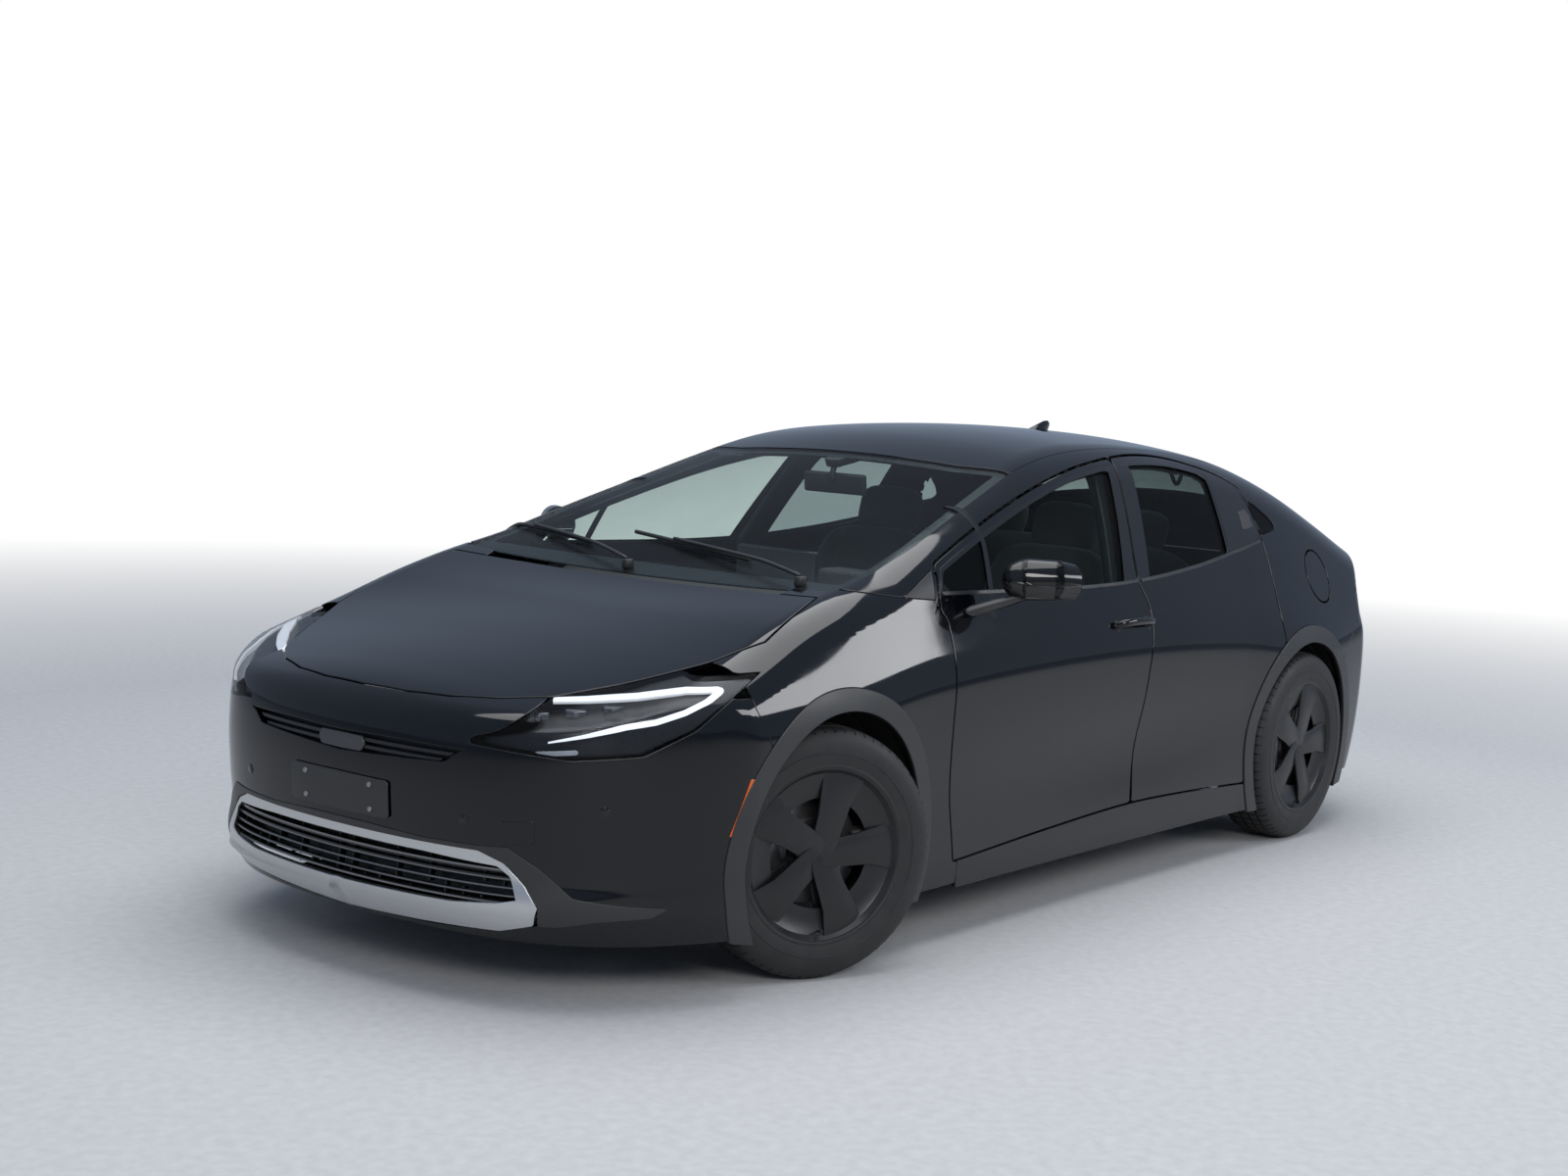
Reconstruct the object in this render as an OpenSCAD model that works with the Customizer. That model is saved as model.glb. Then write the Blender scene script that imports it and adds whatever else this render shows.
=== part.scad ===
// Plug-in hybrid hatchback, five doors. Millimetres.
// +X points forwards, +Y to the car's left, +Z up; the origin is on the ground
// under the centre of the car's box.
//
// The painted skin is one rule: the inside of a side, a top, a nose and a tail
// surface, joined with soft edges. Panels are stretches of that skin, cut out
// along their shut lines and given the thickness of the whole wall.

/* [Whole car] */
// Distance between the front and rear axles
wheelbase = 2750; // [2700:10:2800]
// From the front axle to the tip of the nose
front_overhang = 950; // [900:10:1000]
// From the rear axle to the tip of the tail
rear_overhang = 900; // [860:10:940]
// Width over the doors and arches
body_width = 1780; // [1740:5:1820]
// Height of the roof above the ground
roof_height = 1414; // [1390:2:1440]
// Underside of the sills and bumpers above the ground
ground_clearance = 160; // [150:2:170]

/* [Panels] */
// Gap round doors, lids, hood and hatch
shut_gap = 5; // [5:0.5:7]
// Seam between panels that are fixed to each other
seam = 0.3; // [0.2:0.1:0.5]
// Wall of bumpers and fenders
skin = 12; // [10:1:16]
// Thickness of a door below its window
door_wall = 62; // [55:1:70]
// Thickness of a door's window frame, and of the roof
frame_wall = 30; // [26:1:36]
// Thickness of every window pane
glass_wall = 5; // [4:0.5:6]
// Thickness of the hood
hood_wall = 34; // [32:1:40]
// Depth of the hem along the hood's front edge
hood_hem = 9; // [7:0.5:10]
// Thickness of the hatch
hatch_wall = 38; // [34:1:44]
// Thickness of the roof's lip over the gutter ahead of the hatch
roof_lip = 3.5; // [3:0.5:4]
// Depth of a pane below the painted skin
glass_depth = 6; // [4:1:9]

/* [Wheels] */
// Track between the front tyres' centre planes
front_track = 1560; // [1540:5:1570]
// Track between the rear tyres' centre planes
rear_track = 1570; // [1550:5:1575]
// Outer diameter of a tyre
tyre_diameter = 666; // [656:2:672]
// Width of a tyre
tyre_width = 195; // [185:5:205]
// Diameter of the rim at its outer lip
rim_diameter = 466; // [456:2:476]
// Radius of the wheel arches' inner edge
arch_radius = 372; // [368:1:382]
// Width of the dark trim round each arch
arch_trim = 60; // [50:2:66]
// Diameter of the spindles that the wheels turn on
spindle_diameter = 30; // [26:1:34]
// Radial running clearance of spindles and kingpins
running_clearance = 0.08; // [0.06:0.01:0.1]
// How far the front wheels are turned to the right, in degrees
rest_steer = 22; // [0:1:30]

/* [Cabin] */
// Outer diameter of the steering wheel
steering_wheel_diameter = 366; // [350:2:380]
// Width of a front seat
seat_width = 500; // [470:5:520]
// Distance of the front seats' centres from the car's centre line
seat_offset = 365; // [355:5:375]

/* [Hidden] */
$fn = 48;

// The car that the tables below were drawn for
drawn_wheelbase = 2750;
drawn_front = 1350;
drawn_rear = drawn_front - drawn_wheelbase;
drawn_front_overhang = 950;
drawn_rear_overhang = 900;
drawn_half_width = 890;
drawn_roof = 1414;
drawn_floor = 160;

body_length = front_overhang + wheelbase + rear_overhang;
front_axle = body_length / 2 - front_overhang;
rear_axle = front_axle - wheelbase;
axle_height = tyre_diameter / 2;

// Drawn stations, widths and heights to the real ones
function px(x) =
    x > drawn_front ? front_axle + (x - drawn_front) * front_overhang / drawn_front_overhang :
    x < drawn_rear ? rear_axle + (x - drawn_rear) * rear_overhang / drawn_rear_overhang :
    front_axle + (x - drawn_front) * wheelbase / drawn_wheelbase;
function py(y) = y * body_width / 2 / drawn_half_width;
function pz(z) = ground_clearance
    + (z - drawn_floor) * (roof_height - ground_clearance) / (drawn_roof - drawn_floor);
function place(p) = [px(p.x), py(p.y), pz(p.z)];
function plan(p) = [px(p[0]), py(p[1])];
function elevation(p) = [px(p[0]), pz(p[1])];
function front_view(p) = [py(p[0]), pz(p[1])];

// ---- Curves through a few points, and soft joins -------------------------------
function slope(t, i) =
    let (a = max(0, i - 1), b = min(len(t) - 1, i + 1))
    (t[b][1] - t[a][1]) / (t[b][0] - t[a][0]);
function stretch(t, x) =
    max(0, min(len(t) - 2, len([for (i = [1 : len(t) - 1]) if (t[i][0] <= x) 1])));
function curve(t, x) =
    let (i = stretch(t, x), a = t[i], b = t[i + 1], h = b[0] - a[0], u = (x - a[0]) / h)
    u < 0 ? a[1] + u * h * slope(t, i) :
    u > 1 ? b[1] + (u - 1) * h * slope(t, i + 1) :
    let (u2 = u * u, u3 = u2 * u)
    (2 * u3 - 3 * u2 + 1) * a[1] + (u3 - 2 * u2 + u) * h * slope(t, i)
    + (3 * u2 - 2 * u3) * b[1] + (u3 - u2) * h * slope(t, i + 1);
function soft_max(a, b, k) = let (h = max(k - abs(a - b), 0)) max(a, b) + h * h / (4 * k);
function soft_min(a, b, k) = -soft_max(-a, -b, k);
function swell(x, centre, width) = exp(-pow((x - centre) / width, 2));
function mix(a, b, t) = a + (b - a) * t;
function steps(a, b, n) = [for (i = [0 : n]) mix(a, b, i / n)];

// ---- The skin ------------------------------------------------------------------
// Height of hood, windshield, roof and hatch on the centre line, by station
top_line = [[-2300, 1004], [-2050, 1100], [-1800, 1205], [-1500, 1305], [-1150, 1378],
            [-750, 1408], [-300, 1412], [0, 1388], [215, 1338], [700, 1170], [1235, 968],
            [1500, 905], [1800, 842], [2050, 787], [2200, 742], [2290, 684]];
// How far the top falls from the centre line to 600 from it
crown = [[-2200, 70], [-1800, 84], [-1200, 66], [-300, 46], [215, 46], [1000, 8], [1300, -14],
         [1700, 18], [2000, 40], [2300, 60]];
// Half width at the widest line, its height, and how fast the side rolls in above it,
// up to where it goes on straight
widest = [[-2300, 765], [-1900, 845], [-1400, 888], [-900, 874], [-300, 868], [400, 868],
          [900, 874], [1350, 886], [1800, 866], [2300, 800]];
widest_height = [[-2300, 760], [-1400, 745], [-300, 770], [600, 760], [1350, 735], [2300, 640]];
roll_in = [[-2300, 1.5], [-1400, 1.25], [-300, 1.25], [900, 1.2], [1350, 1.9], [1700, 2.8],
           [2300, 2.8]];
rolled = 190;
// Half width of the greenhouse at the height of the belt line
belt_height = 960;
greenhouse = [[-2250, 760], [-1800, 775], [-1400, 792], [-1000, 804], [-300, 815], [500, 812],
              [1100, 800], [1500, 780]];
// Side view of the nose and of the tail on the centre line, by height
nose_line = [[150, 2215], [190, 2245], [255, 2275], [330, 2268], [420, 2278], [520, 2286],
             [600, 2285], [660, 2280], [720, 2270], [800, 2250]];
tail_line = [[150, 2190], [260, 2245], [400, 2285], [560, 2298], [700, 2285], [790, 2235],
             [900, 2215], [1000, 2225], [1100, 2240]];

function top_z(x, y) = curve(top_line, x) - curve(crown, x) * pow(y / 600, 2);
function lower_side(x, z) =
    let (h = curve(widest_height, x), up = max(z - h, 0), down = max(h - z, 0), turn = min(up, rolled))
    curve(widest, x) - curve(roll_in, x) / 1000 * turn * (2 * up - turn)
    - 26 * swell(z, 430, 150) * swell(x, -150, 900) - 8 * pow(down / 500, 2);
function upper_side(x, z) =
    let (d = z - belt_height) curve(greenhouse, x) - 0.36 * d - 0.00045 * d * abs(d);
function side_y(x, z) = soft_min(lower_side(x, z), upper_side(x, z), 60);
function nose_x(y, z) = curve(nose_line, z) - 44 * pow(y / 412, 2) - 87 * pow(y / 690, 6);
function tail_x(y, z) = curve(tail_line, z) - 65 * pow(y / 650, 2) - 150 * pow(y / 780, 6);
// Below zero inside the car, and about the distance from the skin outside it
function outside(p) =
    let (y = abs(p.y),
         hoop = soft_max(y - side_y(p.x, p.z), p.z - top_z(p.x, y), 90),
         front = p.x > 1200 ? soft_max(hoop, p.x - nose_x(y, p.z), 40) : hoop)
    p.x < -1200 ? soft_max(front, -p.x - tail_x(y, p.z), 30) : front;
// Distance from o to the skin along d
function reach(o, d, near = 0, far = 1400, n = 15) =
    let (m = (near + far) / 2)
    n == 0 ? m : outside(o + m * d) < 0 ? reach(o, d, m, far, n - 1) : reach(o, d, near, m, n - 1);
function skin_top(x, y) = 300 + reach([x, y, 300], [0, 0, 1]);

// ---- Fans of rays that the panels are measured along ----------------------------
// across the car at station x, at angle a above the horizontal
function hoop_ray(x, a) = [[x, 200, 600], [0, cos(a), sin(a)]];
// straight up
function up_ray(x, y) = [[x, y, 300], [0, 0, 1]];
// level, at azimuth a from the middle of the front or rear overhang
function nose_ray(a, z) = [[1450, 0, z], [cos(a), sin(a), 0]];
function tail_ray(a, z) = [[-1450, 0, z], [-cos(a), sin(a), 0]];
// in a lengthwise plane, over the hatch
function hatch_ray(a, y) = [[-1300, y, 700], [cos(a), 0, sin(a)]];

// A sheet of the skin over a net of rays, from depth a to depth b below the paint.
// Both depths are functions of the point on the skin.
module sheet(rays, a, b) {
    n = len(rays);
    m = len(rays[0]);
    hits = [for (row = rays) [for (r = row) reach(r[0], r[1])]];
    points = [for (depth = [a, b], i = [0 : n - 1], j = [0 : m - 1])
        let (r = rays[i][j], p = r[0] + hits[i][j] * r[1]) place(p - depth(p) * r[1])];
    function at(k, i, j) = k * n * m + i * m + j;
    function quad(a, b, c, d) = [[a, b, c], [a, c, d]];
    quads = [
        for (i = [0 : n - 2], j = [0 : m - 2]) each [
            quad(at(0, i, j), at(0, i + 1, j), at(0, i + 1, j + 1), at(0, i, j + 1)),
            quad(at(1, i, j), at(1, i, j + 1), at(1, i + 1, j + 1), at(1, i + 1, j))],
        for (i = [0 : n - 2]) each [
            quad(at(0, i + 1, 0), at(0, i, 0), at(1, i, 0), at(1, i + 1, 0)),
            quad(at(0, i, m - 1), at(0, i + 1, m - 1), at(1, i + 1, m - 1), at(1, i, m - 1))],
        for (j = [0 : m - 2]) each [
            quad(at(0, 0, j), at(0, 0, j + 1), at(1, 0, j + 1), at(1, 0, j)),
            quad(at(0, n - 1, j + 1), at(0, n - 1, j), at(1, n - 1, j), at(1, n - 1, j + 1))]];
    polyhedron(points, [for (q = quads) each q]);
}
// Everything inside is cut as one mesh at its own size
module cut_mesh() { resize([0, 0, 0]) children(); }
module both_sides() { children(); mirror([0, 1, 0]) children(); }
module side(right) { if (right) mirror([0, 1, 0]) children(); else children(); }

// Prisms through the left half of the car, through its ends, and upright
module side_prism(outline, grow = 0) {
    translate([0, body_width, 0]) rotate([90, 0, 0]) linear_extrude(body_width)
        offset(delta = grow) polygon([for (p = outline) elevation(p)]);
}
module end_prism(outline, grow = 0, from = 0, to = 3000) {
    rotate([90, 0, 90]) translate([0, 0, from]) linear_extrude(to - from)
        offset(delta = grow) polygon([for (p = outline) front_view(p)]);
}
module plan_prism(outline, grow = 0, from = 100, to = 2000) {
    translate([0, 0, from]) linear_extrude(to - from)
        offset(delta = grow) polygon([for (p = outline) plan(p)]);
}
function mirrored(half) = concat(half, [for (i = [len(half) - 1 : -1 : 0]) [-half[i][0], half[i][1]]]);
function mirrored_plan(half) = concat(half, [for (i = [len(half) - 1 : -1 : 0]) [half[i][0], -half[i][1]]]);
module arch_cut(radius) {
    for (x = [front_axle, rear_axle]) translate([x, body_width, axle_height]) rotate([90, 0, 0])
        cylinder(r = radius, h = body_width * 0.7, $fn = 40);
}

// ---- Shut lines and windows, in the side view ------------------------------------
belt_line = [[-1375, 1098], [-1340, 1081], [-1203, 1057], [-915, 1018], [-650, 988], [-277, 962],
             [100, 957], [600, 967], [1011, 977]];
window_line = [[-1378, 1108], [-1340, 1150], [-1234, 1213], [-1101, 1274], [-920, 1316], [-743, 1340],
               [-560, 1346], [-393, 1338], [-230, 1322], [-63, 1298], [202, 1241], [505, 1156],
               [776, 1067], [1011, 977]];
sill_line = [[-973, 250], [-600, 265], [-208, 272], [300, 255], [796, 232], [960, 226]];
front_cut = [[165, 797], [237, 800], [400, 822], [560, 838], [700, 838], [800, 832], [906, 826],
             [931, 844], [1052, 812]];
middle_cut = [[165, -212], [271, -222], [500, -246], [700, -262], [885, -292], [976, -263],
              [1100, -302], [1332, -389], [1400, -412]];
rear_cut = [[780, -1182], [950, -1202], [1095, -1208], [1235, -1188]];
sail = [[862, 962], [1000, 974], [835, 1042]];
arch_outer = arch_radius + arch_trim;

function drawn(x) =
    x > front_axle ? drawn_front + (x - front_axle) * drawn_front_overhang / front_overhang :
    x < rear_axle ? drawn_rear + (x - rear_axle) * drawn_rear_overhang / rear_overhang :
    drawn_front + (x - front_axle) * drawn_wheelbase / wheelbase;
function drawn_z(z) = drawn_floor
    + (z - ground_clearance) * (drawn_roof - drawn_floor) / (roof_height - ground_clearance);
// Points round the front of the rear arch, r out from the axle, from angle a to b
function rear_arch_points(r, a, b) = [for (t = steps(a, b, 14))
    [drawn(rear_axle + r * cos(t)), drawn_z(axle_height + r * sin(t))]];

front_door = concat(
    [for (x = steps(790, -212, 6)) [x, curve(sill_line, x)]],
    [for (z = [400, 550, 700, 800, 885, 930, 976, 1100, 1220, 1320]) [curve(middle_cut, z) + 3, z]],
    [for (x = steps(-380, 800, 13)) [x, curve(window_line, x)]],
    [for (z = [1052, 990, 931, 906, 800, 700, 560, 400]) [curve(front_cut, z), z]]);
rear_door = concat(
    [for (x = steps(-226, -960, 5)) [x, curve(sill_line, x)]],
    rear_arch_points(arch_outer + shut_gap + 0.5, -11, 62),
    [for (z = [800, 950, 1080]) [curve(rear_cut, z), z]],
    [for (x = steps(-1180, -400, 9)) [x, curve(window_line, x)]],
    [for (z = [1320, 1220, 1100, 976, 930, 885, 800, 700, 550, 400]) [curve(middle_cut, z) - 2, z]]);
front_window = concat(
    [for (x = steps(828, -180, 8)) [x, curve(belt_line, x) + 8]],
    [[-325, 1300]],
    [for (x = steps(-290, 790, 11)) [x, curve(window_line, x) - 26]]);
quarter_bar = [[607, 900], [585, 900], [512, 1200], [534, 1200]];
rear_window = concat(
    [for (x = steps(-330, -925, 5)) [x, curve(belt_line, x) + 8]],
    [[-968, 1270]],
    [for (x = steps(-930, -450, 5)) [x, curve(window_line, x) - 26]]);
quarter_window = [[-1224, 1080], [-1208, 1196], [-1250, 1180], [-1320, 1138], [-1352, 1108], [-1330, 1094]];

// Depth profiles: the doors are thick below the glass and thin above it
function door_depth(p) =
    let (t = min(1, max(0, (p.z - curve(belt_line, p.x) + 30) / 30)))
    mix(door_wall, frame_wall - (p.x < -850 ? 6 : 0), t);
function deep(d) = function(p) d;

// ---- Outlines seen from above and from the ends ----------------------------------
hood_half = [[1250, 0], [1252, 400], [1262, 690], [1400, 718], [1543, 745], [1700, 700],
             [1900, 600], [2055, 503], [2130, 400], [2180, 280], [2205, 150], [2212, 0]];
screen_half = [[1215, 0], [1212, 400], [1205, 700], [1013, 696], [815, 683], [522, 638], [195, 590],
               [245, 426], [258, 230], [262, 0]];
roof_half = [[261, 0], [257, 230], [244, 426], [194, 590], [-40, 568], [-400, 545], [-743, 534],
             [-1004, 545], [-1008, 300], [-1010, 0]];
hatch_half = [[-1015, 0], [-1013, 300], [-1009, 545], [-1400, 575], [-1800, 620], [-2120, 670],
              [-2500, 670], [-2500, 0]];
hatch_window_half = [[-1090, 0], [-1088, 440], [-1400, 462], [-1760, 490], [-1840, 478],
                     [-1865, 300], [-1870, 0]];
hatch_end_half = [[0, 700], [430, 706], [520, 730], [566, 800], [640, 880], [672, 960], [720, 1500],
                  [0, 1500]];
grille_outer_half = [[0, 404], [300, 396], [480, 382], [540, 345], [588, 268], [572, 214],
                     [480, 190], [300, 178], [0, 172]];
grille_inner_half = [[0, 388], [300, 376], [500, 350], [526, 300], [514, 272], [300, 278],
                     [0, 284]];
slot_half = [[0, 626], [200, 630], [390, 626], [345, 592], [0, 576]];
// Headlamp and tail lamp, seen along their own directions: width across, height
lamp_azimuth = 40;
lamp_points = [[2232, 410, 645], [2232, 410, 661], [2208, 473, 679], [2060, 504, 753],
               [1999, 447, 790], [1772, 620, 835], [1779, 713, 814], [1632, 809, 821],
               [1778, 831, 761], [1873, 812, 695], [1990, 752, 637], [2124, 638, 624]];
tail_azimuth = 40;
tail_points = [[-2060, 600, 935], [-1960, 740, 905], [-1905, 800, 860], [-1960, 780, 838],
               [-2100, 640, 866], [-2130, 570, 872], [-2130, 570, 930]];
function seen_along(a, p) = [-p[0] * sin(a) + p[1] * cos(a), p[2]];

module corner_prism(points, azimuth, grow = 0) {
    rotate([90, 0, 90 + azimuth]) translate([0, 0, 300]) linear_extrude(2600)
        offset(delta = grow)
            polygon([for (p = points) let (q = place(p)) seen_along(azimuth, q)]);
}
module headlamp_prism(grow = 0) { corner_prism(lamp_points, lamp_azimuth, grow); }
module tail_lamp_prism(grow = 0) { corner_prism(tail_points, 180 - tail_azimuth, grow); }
// seam between the fender and the front bumper, and the rear bumper's upper edge
fender_outline = [[770, drawn_floor + 5], [770, 914], [862, 914], [862, 962], [1000, 974],
                  [1240, 1004], [1240, 1200], [1700, 1200], [1700, 742], [1650, 640],
                  [1350, 333], [955, drawn_floor + 5]];
bumper_seam = [[1200, 638], [1649, 638], [1700, 742], [1700, 1000], [1200, 1000]];
quarter_lower = [[-1650, 500], [-1730, 640], [-1905, 800], [-1985, 838], [-2400, 838],
                 [-2400, 100], [-1650, 100]];

// ---- Panels -----------------------------------------------------------------------
module side_sheet(x0, x1, nx, angles, a, b) {
    sheet([for (x = steps(x0, x1, nx)) [for (t = angles) hoop_ray(x, t)]], a, b);
}
module nose_sheet(limit, n, heights, a, b) {
    sheet([for (t = steps(limit, -limit, n)) [for (z = heights) nose_ray(t, z)]], a, b);
}
module tail_sheet(limit, n, heights, a, b) {
    sheet([for (t = steps(-limit, limit, n)) [for (z = heights) tail_ray(t, z)]], a, b);
}
module top_sheet(x0, x1, nx, half, ny, a, b) {
    sheet([for (x = steps(x0, x1, nx)) [for (y = steps(half, -half, ny)) up_ray(x, y)]], a, b);
}
module hatch_sheet(angles, half, n, a, b) {
    sheet([for (t = angles) [for (y = steps(-half, half, n)) hatch_ray(t, y)]], a, b);
}

side_angles = [-36, -24, -12, 0, 11, 20, 28, 37, 47, 57, 66];
frame_angles = [-36, -16, 0, 13, 24, 34, 45, 54, 61, 67, 72, 77];
glass_angles = [20, 28, 37, 46, 54, 62, 66];
sill_angles = [-34.4, -31, -28, -24];

module fender() {
    color("#0b0d10") cut_mesh() difference() {
        intersection() {
            side_sheet(740, 1760, 9, [-36, -24, -10, 4, 16, 26, 34, 42], deep(0), deep(skin));
            side_prism(fender_outline);
        }
        arch_cut(arch_outer + seam);
        side_prism(front_door, shut_gap);
        headlamp_prism(seam);
        plan_prism(mirrored_plan(hood_half), shut_gap, 600);
        plan_prism(mirrored_plan(screen_half), seam, 600);
    }
}
module fenders() { both_sides() fender(); }

module plate_bracket() {
    // A blank board for the number plate, on the skin of the bumper, with two bolt holes
    x = px(curve(nose_line, 494));
    color("#101214") translate([x + seam, -160, pz(447)]) difference() {
        cube([14, 320, 96]);
        for (y = [-90, 90]) translate([-1, 160 + y, 48]) rotate([0, 90, 0]) cylinder(r = 3.5, h = 20);
    }
}
module front_bumper() {
    heights = [165, 200, 262, 330, 400, 500, 590, 640, 670, 695, 730, 765];
    color("#0b0d10") cut_mesh() difference() {
        nose_sheet(80, 14, heights, deep(0), deep(skin));
        both_sides() arch_cut(arch_outer + seam);
        both_sides() side_prism(bumper_seam, seam);
        both_sides() headlamp_prism(seam);
        plan_prism(mirrored_plan(hood_half), shut_gap, 600);
        end_prism(mirrored(grille_outer_half), seam, 1800);
        end_prism(mirrored(slot_half), 0, 1800);
        for (y = [-90, 90]) translate([2000, y, pz(447) + 48]) rotate([0, 90, 0])
            cylinder(r = 6, h = 400, $fn = 12);
    }
    plate_bracket();
}

slat_count = 5;
module lower_grille() {
    heights = [165, 205, 262, 330, 400, 440];
    color("#b9bcc0") cut_mesh() intersection() {
        nose_sheet(40, 10, heights, deep(-4), deep(34));
        difference() {
            end_prism(mirrored(grille_outer_half), 0, 1800);
            end_prism(mirrored(grille_inner_half), 0, 1800);
        }
    }
    color("#0a0b0c") cut_mesh() intersection() {
        nose_sheet(40, 10, [262, 330, 400], deep(14), deep(30));
        union() {
            for (k = [0 : slat_count - 1]) end_prism([
                [-545, mix(290, 384, (k + 0.3) / slat_count)], [0, mix(298, 396, (k + 0.3) / slat_count)],
                [545, mix(290, 384, (k + 0.3) / slat_count)], [545, mix(290, 384, (k + 0.75) / slat_count)],
                [0, mix(298, 396, (k + 0.75) / slat_count)], [-545, mix(290, 384, (k + 0.75) / slat_count)]],
                0, 1800);
        }
        end_prism(mirrored(grille_inner_half), 1, 1800);
    }
}

module rear_bumper() {
    heights = [200, 250, 330, 420, 520, 620, 700, 770, 838, 880];
    color("#0b0d10") cut_mesh() difference() {
        intersection() {
            tail_sheet(84, 16, heights, deep(0), deep(skin));
            both_sides() side_prism(quarter_lower);
        }
        both_sides() arch_cut(arch_outer + seam);
        both_sides() tail_lamp_prism(seam);
        end_prism(mirrored(hatch_end_half), shut_gap, -3000, -1900);
    }
}

module wing_of_frame() {
    // sill, pillars' outer faces, roof rail and quarter panel in one ring
    difference() {
        union() {
            intersection() {
                side_sheet(drawn_rear - 720, 1250, 15, frame_angles, deep(0),
                    function(p) p.z > 1000 && p.x > -1300 ? frame_wall : skin);
                side_prism([[-2150, 100], [-2150, 1600], [1250, 1600], [1250, 1004], [1000, 974],
                            [862, 962], [862, 914], [770, 914], [770, 100]]);
            }
            intersection() {
                side_sheet(-960, 768, 8, sill_angles, deep(0), deep(92));
                side_prism([[-960, 100], [768, 100], [768, 1600], [-960, 1600]]);
            }
        }
        side_prism(front_door, shut_gap);
        side_prism(rear_door, shut_gap);
        side_prism(concat(rear_arch_points(arch_outer + shut_gap, -13, 60), [[drawn_rear, drawn_z(axle_height)]]));
        side_prism([[-400, 1290], [-262, 960], [-250, 400], [-205, 400], [-240, 960], [-360, 1290]]);
        side_prism(fender_outline, seam);
        side_prism(quarter_lower, seam);
        side_prism(quarter_window, 0.6);
        side_prism(sail);
        arch_cut(arch_outer + seam);
        tail_lamp_prism(seam);
        plan_prism(mirrored_plan(hood_half), shut_gap, 600);
        plan_prism(mirrored_plan(screen_half), seam, 600);
        plan_prism(mirrored_plan(roof_half), seam, 600);
        plan_prism(mirrored_plan(hatch_half), shut_gap, 880);
        end_prism(mirrored(hatch_end_half), shut_gap, -3000, -1950);
        port_cut();
    }
}
// Round filler lid on the left quarter, charging lid on the right one
port_place = [-1590, 925];
port_radius = 88;
port_depth = 50;
// gap round the lid, with room for the ends of its pin
port_gap = shut_gap + 1.5;
port_hinge = port_place[0] + port_radius - 3;
port_hinge_depth = 2;
port_pin_radius = 1.5;
// how far the skin leans inwards there
port_lean = atan((side_y(port_hinge, port_place[1] - 30) - side_y(port_hinge, port_place[1] + 30)) / 60);
module port_cut() {
    p = elevation(port_place);
    translate([p[0], body_width, p[1]]) rotate([90, 0, 0])
        cylinder(r = port_radius + port_gap, h = body_width * 0.8, $fn = 28);
}
module centre_post() {
    // inside the joint of the two doors, ahead of the rear door's swing
    intersection() {
        side_sheet(-470, -60, 3, frame_angles, function(p) door_depth(p) + 12,
            function(p) door_depth(p) + 50);
        side_prism(concat(
            [for (z = [216, 500, 885, 976, 1332, 1400]) [curve(middle_cut, z), z]],
            [for (z = [1400, 1332, 976, 885, 500, 216]) [curve(middle_cut, z) + 98, z]]));
    }
}
// What lies between two depths of the skin within r of the port's centre
module port_disc(r, a, b) {
    p = elevation(port_place);
    intersection() {
        side_sheet(port_place[0] - 110, port_place[0] + 110, 2, [12, 27, 42], deep(a), deep(b));
        translate([p[0], body_width, p[1]]) rotate([90, 0, 0])
            cylinder(r = r, h = body_width * 0.8, $fn = 28);
    }
}
module port_cup() {
    // shallow cup behind the lid in the quarter panel, with the barrel that the lid turns on
    r = port_radius + port_gap;
    difference() {
        port_disc(r + 6, skin / 2, port_depth + 8);
        port_disc(r, -20, port_depth);
    }
    // two ears beside the lid's edge hold its pin
    at_port_hinge() for (z = [34.5, -39.5]) difference() {
        translate([-2.2, -8, z]) cube([10, 8 + port_hinge_depth - 0.4, 5]);
        translate([0, 0, z - 1]) cylinder(r = port_pin_radius + 0.2, h = 7, $fn = 8);
    }
}
module at_port_hinge() {
    y = side_y(port_hinge, port_place[1]);
    translate([px(port_hinge), py(y) - port_hinge_depth, pz(port_place[1])]) rotate([port_lean, 0, 0])
        children();
}
module front_post() {
    // Hinge post ahead of the front door, on a foot at the sill
    translate([px(893), 660, pz(166)]) cube([57, 76, pz(950) - pz(166)]);
    translate([px(740), 700, pz(166)]) cube([px(950) - px(740), py(806) - 700, 58]);
    translate([px(893), 680, pz(920)]) cube([57, py(776) - 680, 50]);
}
module door_arms() {
    for (z = front_hinge_heights)
        at_hinge(front_hinge, z) goose_neck([px(905) - px(front_hinge[0]), 715 - py(front_hinge[1])]);
    for (z = rear_hinge_heights)
        at_hinge(rear_hinge, z) goose_neck([px(-190) - px(rear_hinge[0]), py(772) - py(rear_hinge[1])]);
}
module side_frames() {
    both_sides() color("#0b0d10") {
        cut_mesh() {
            wing_of_frame();
            front_post();
            port_cup();
        }
        cut_mesh() {
            centre_post();
            door_arms();
        }
    }
}

module roof_panel() {
    color("#0b0d10") cut_mesh() {
        difference() {
            intersection() {
                top_sheet(-1020, 280, 7, 620, 12, deep(0), deep(frame_wall));
                plan_prism(mirrored_plan(roof_half), 0, 600);
            }
            both_sides() {
                side_prism(front_door, shut_gap);
                side_prism(rear_door, shut_gap);
            }
            // gutter that the hatch's front edge turns down into
            top_sheet(-1030, -976, 1, 620, 12, deep(roof_lip), deep(3 * frame_wall));
        }
        lid_arms(hatch_hinge, hatch_hinge_z(), true, [px(-952) - px(hatch_hinge[0]), 8], 150, 80);
    }
}
module windshield() {
    color("#1d2a33", 0.5) cut_mesh() difference() {
        intersection() {
            top_sheet(170, 1230, 6, 720, 10, deep(glass_depth - 4), deep(glass_depth - 4 + glass_wall));
            plan_prism(mirrored_plan(screen_half), 0, 600);
        }
        both_sides() side_prism(front_door, shut_gap);
    }
}
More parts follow.
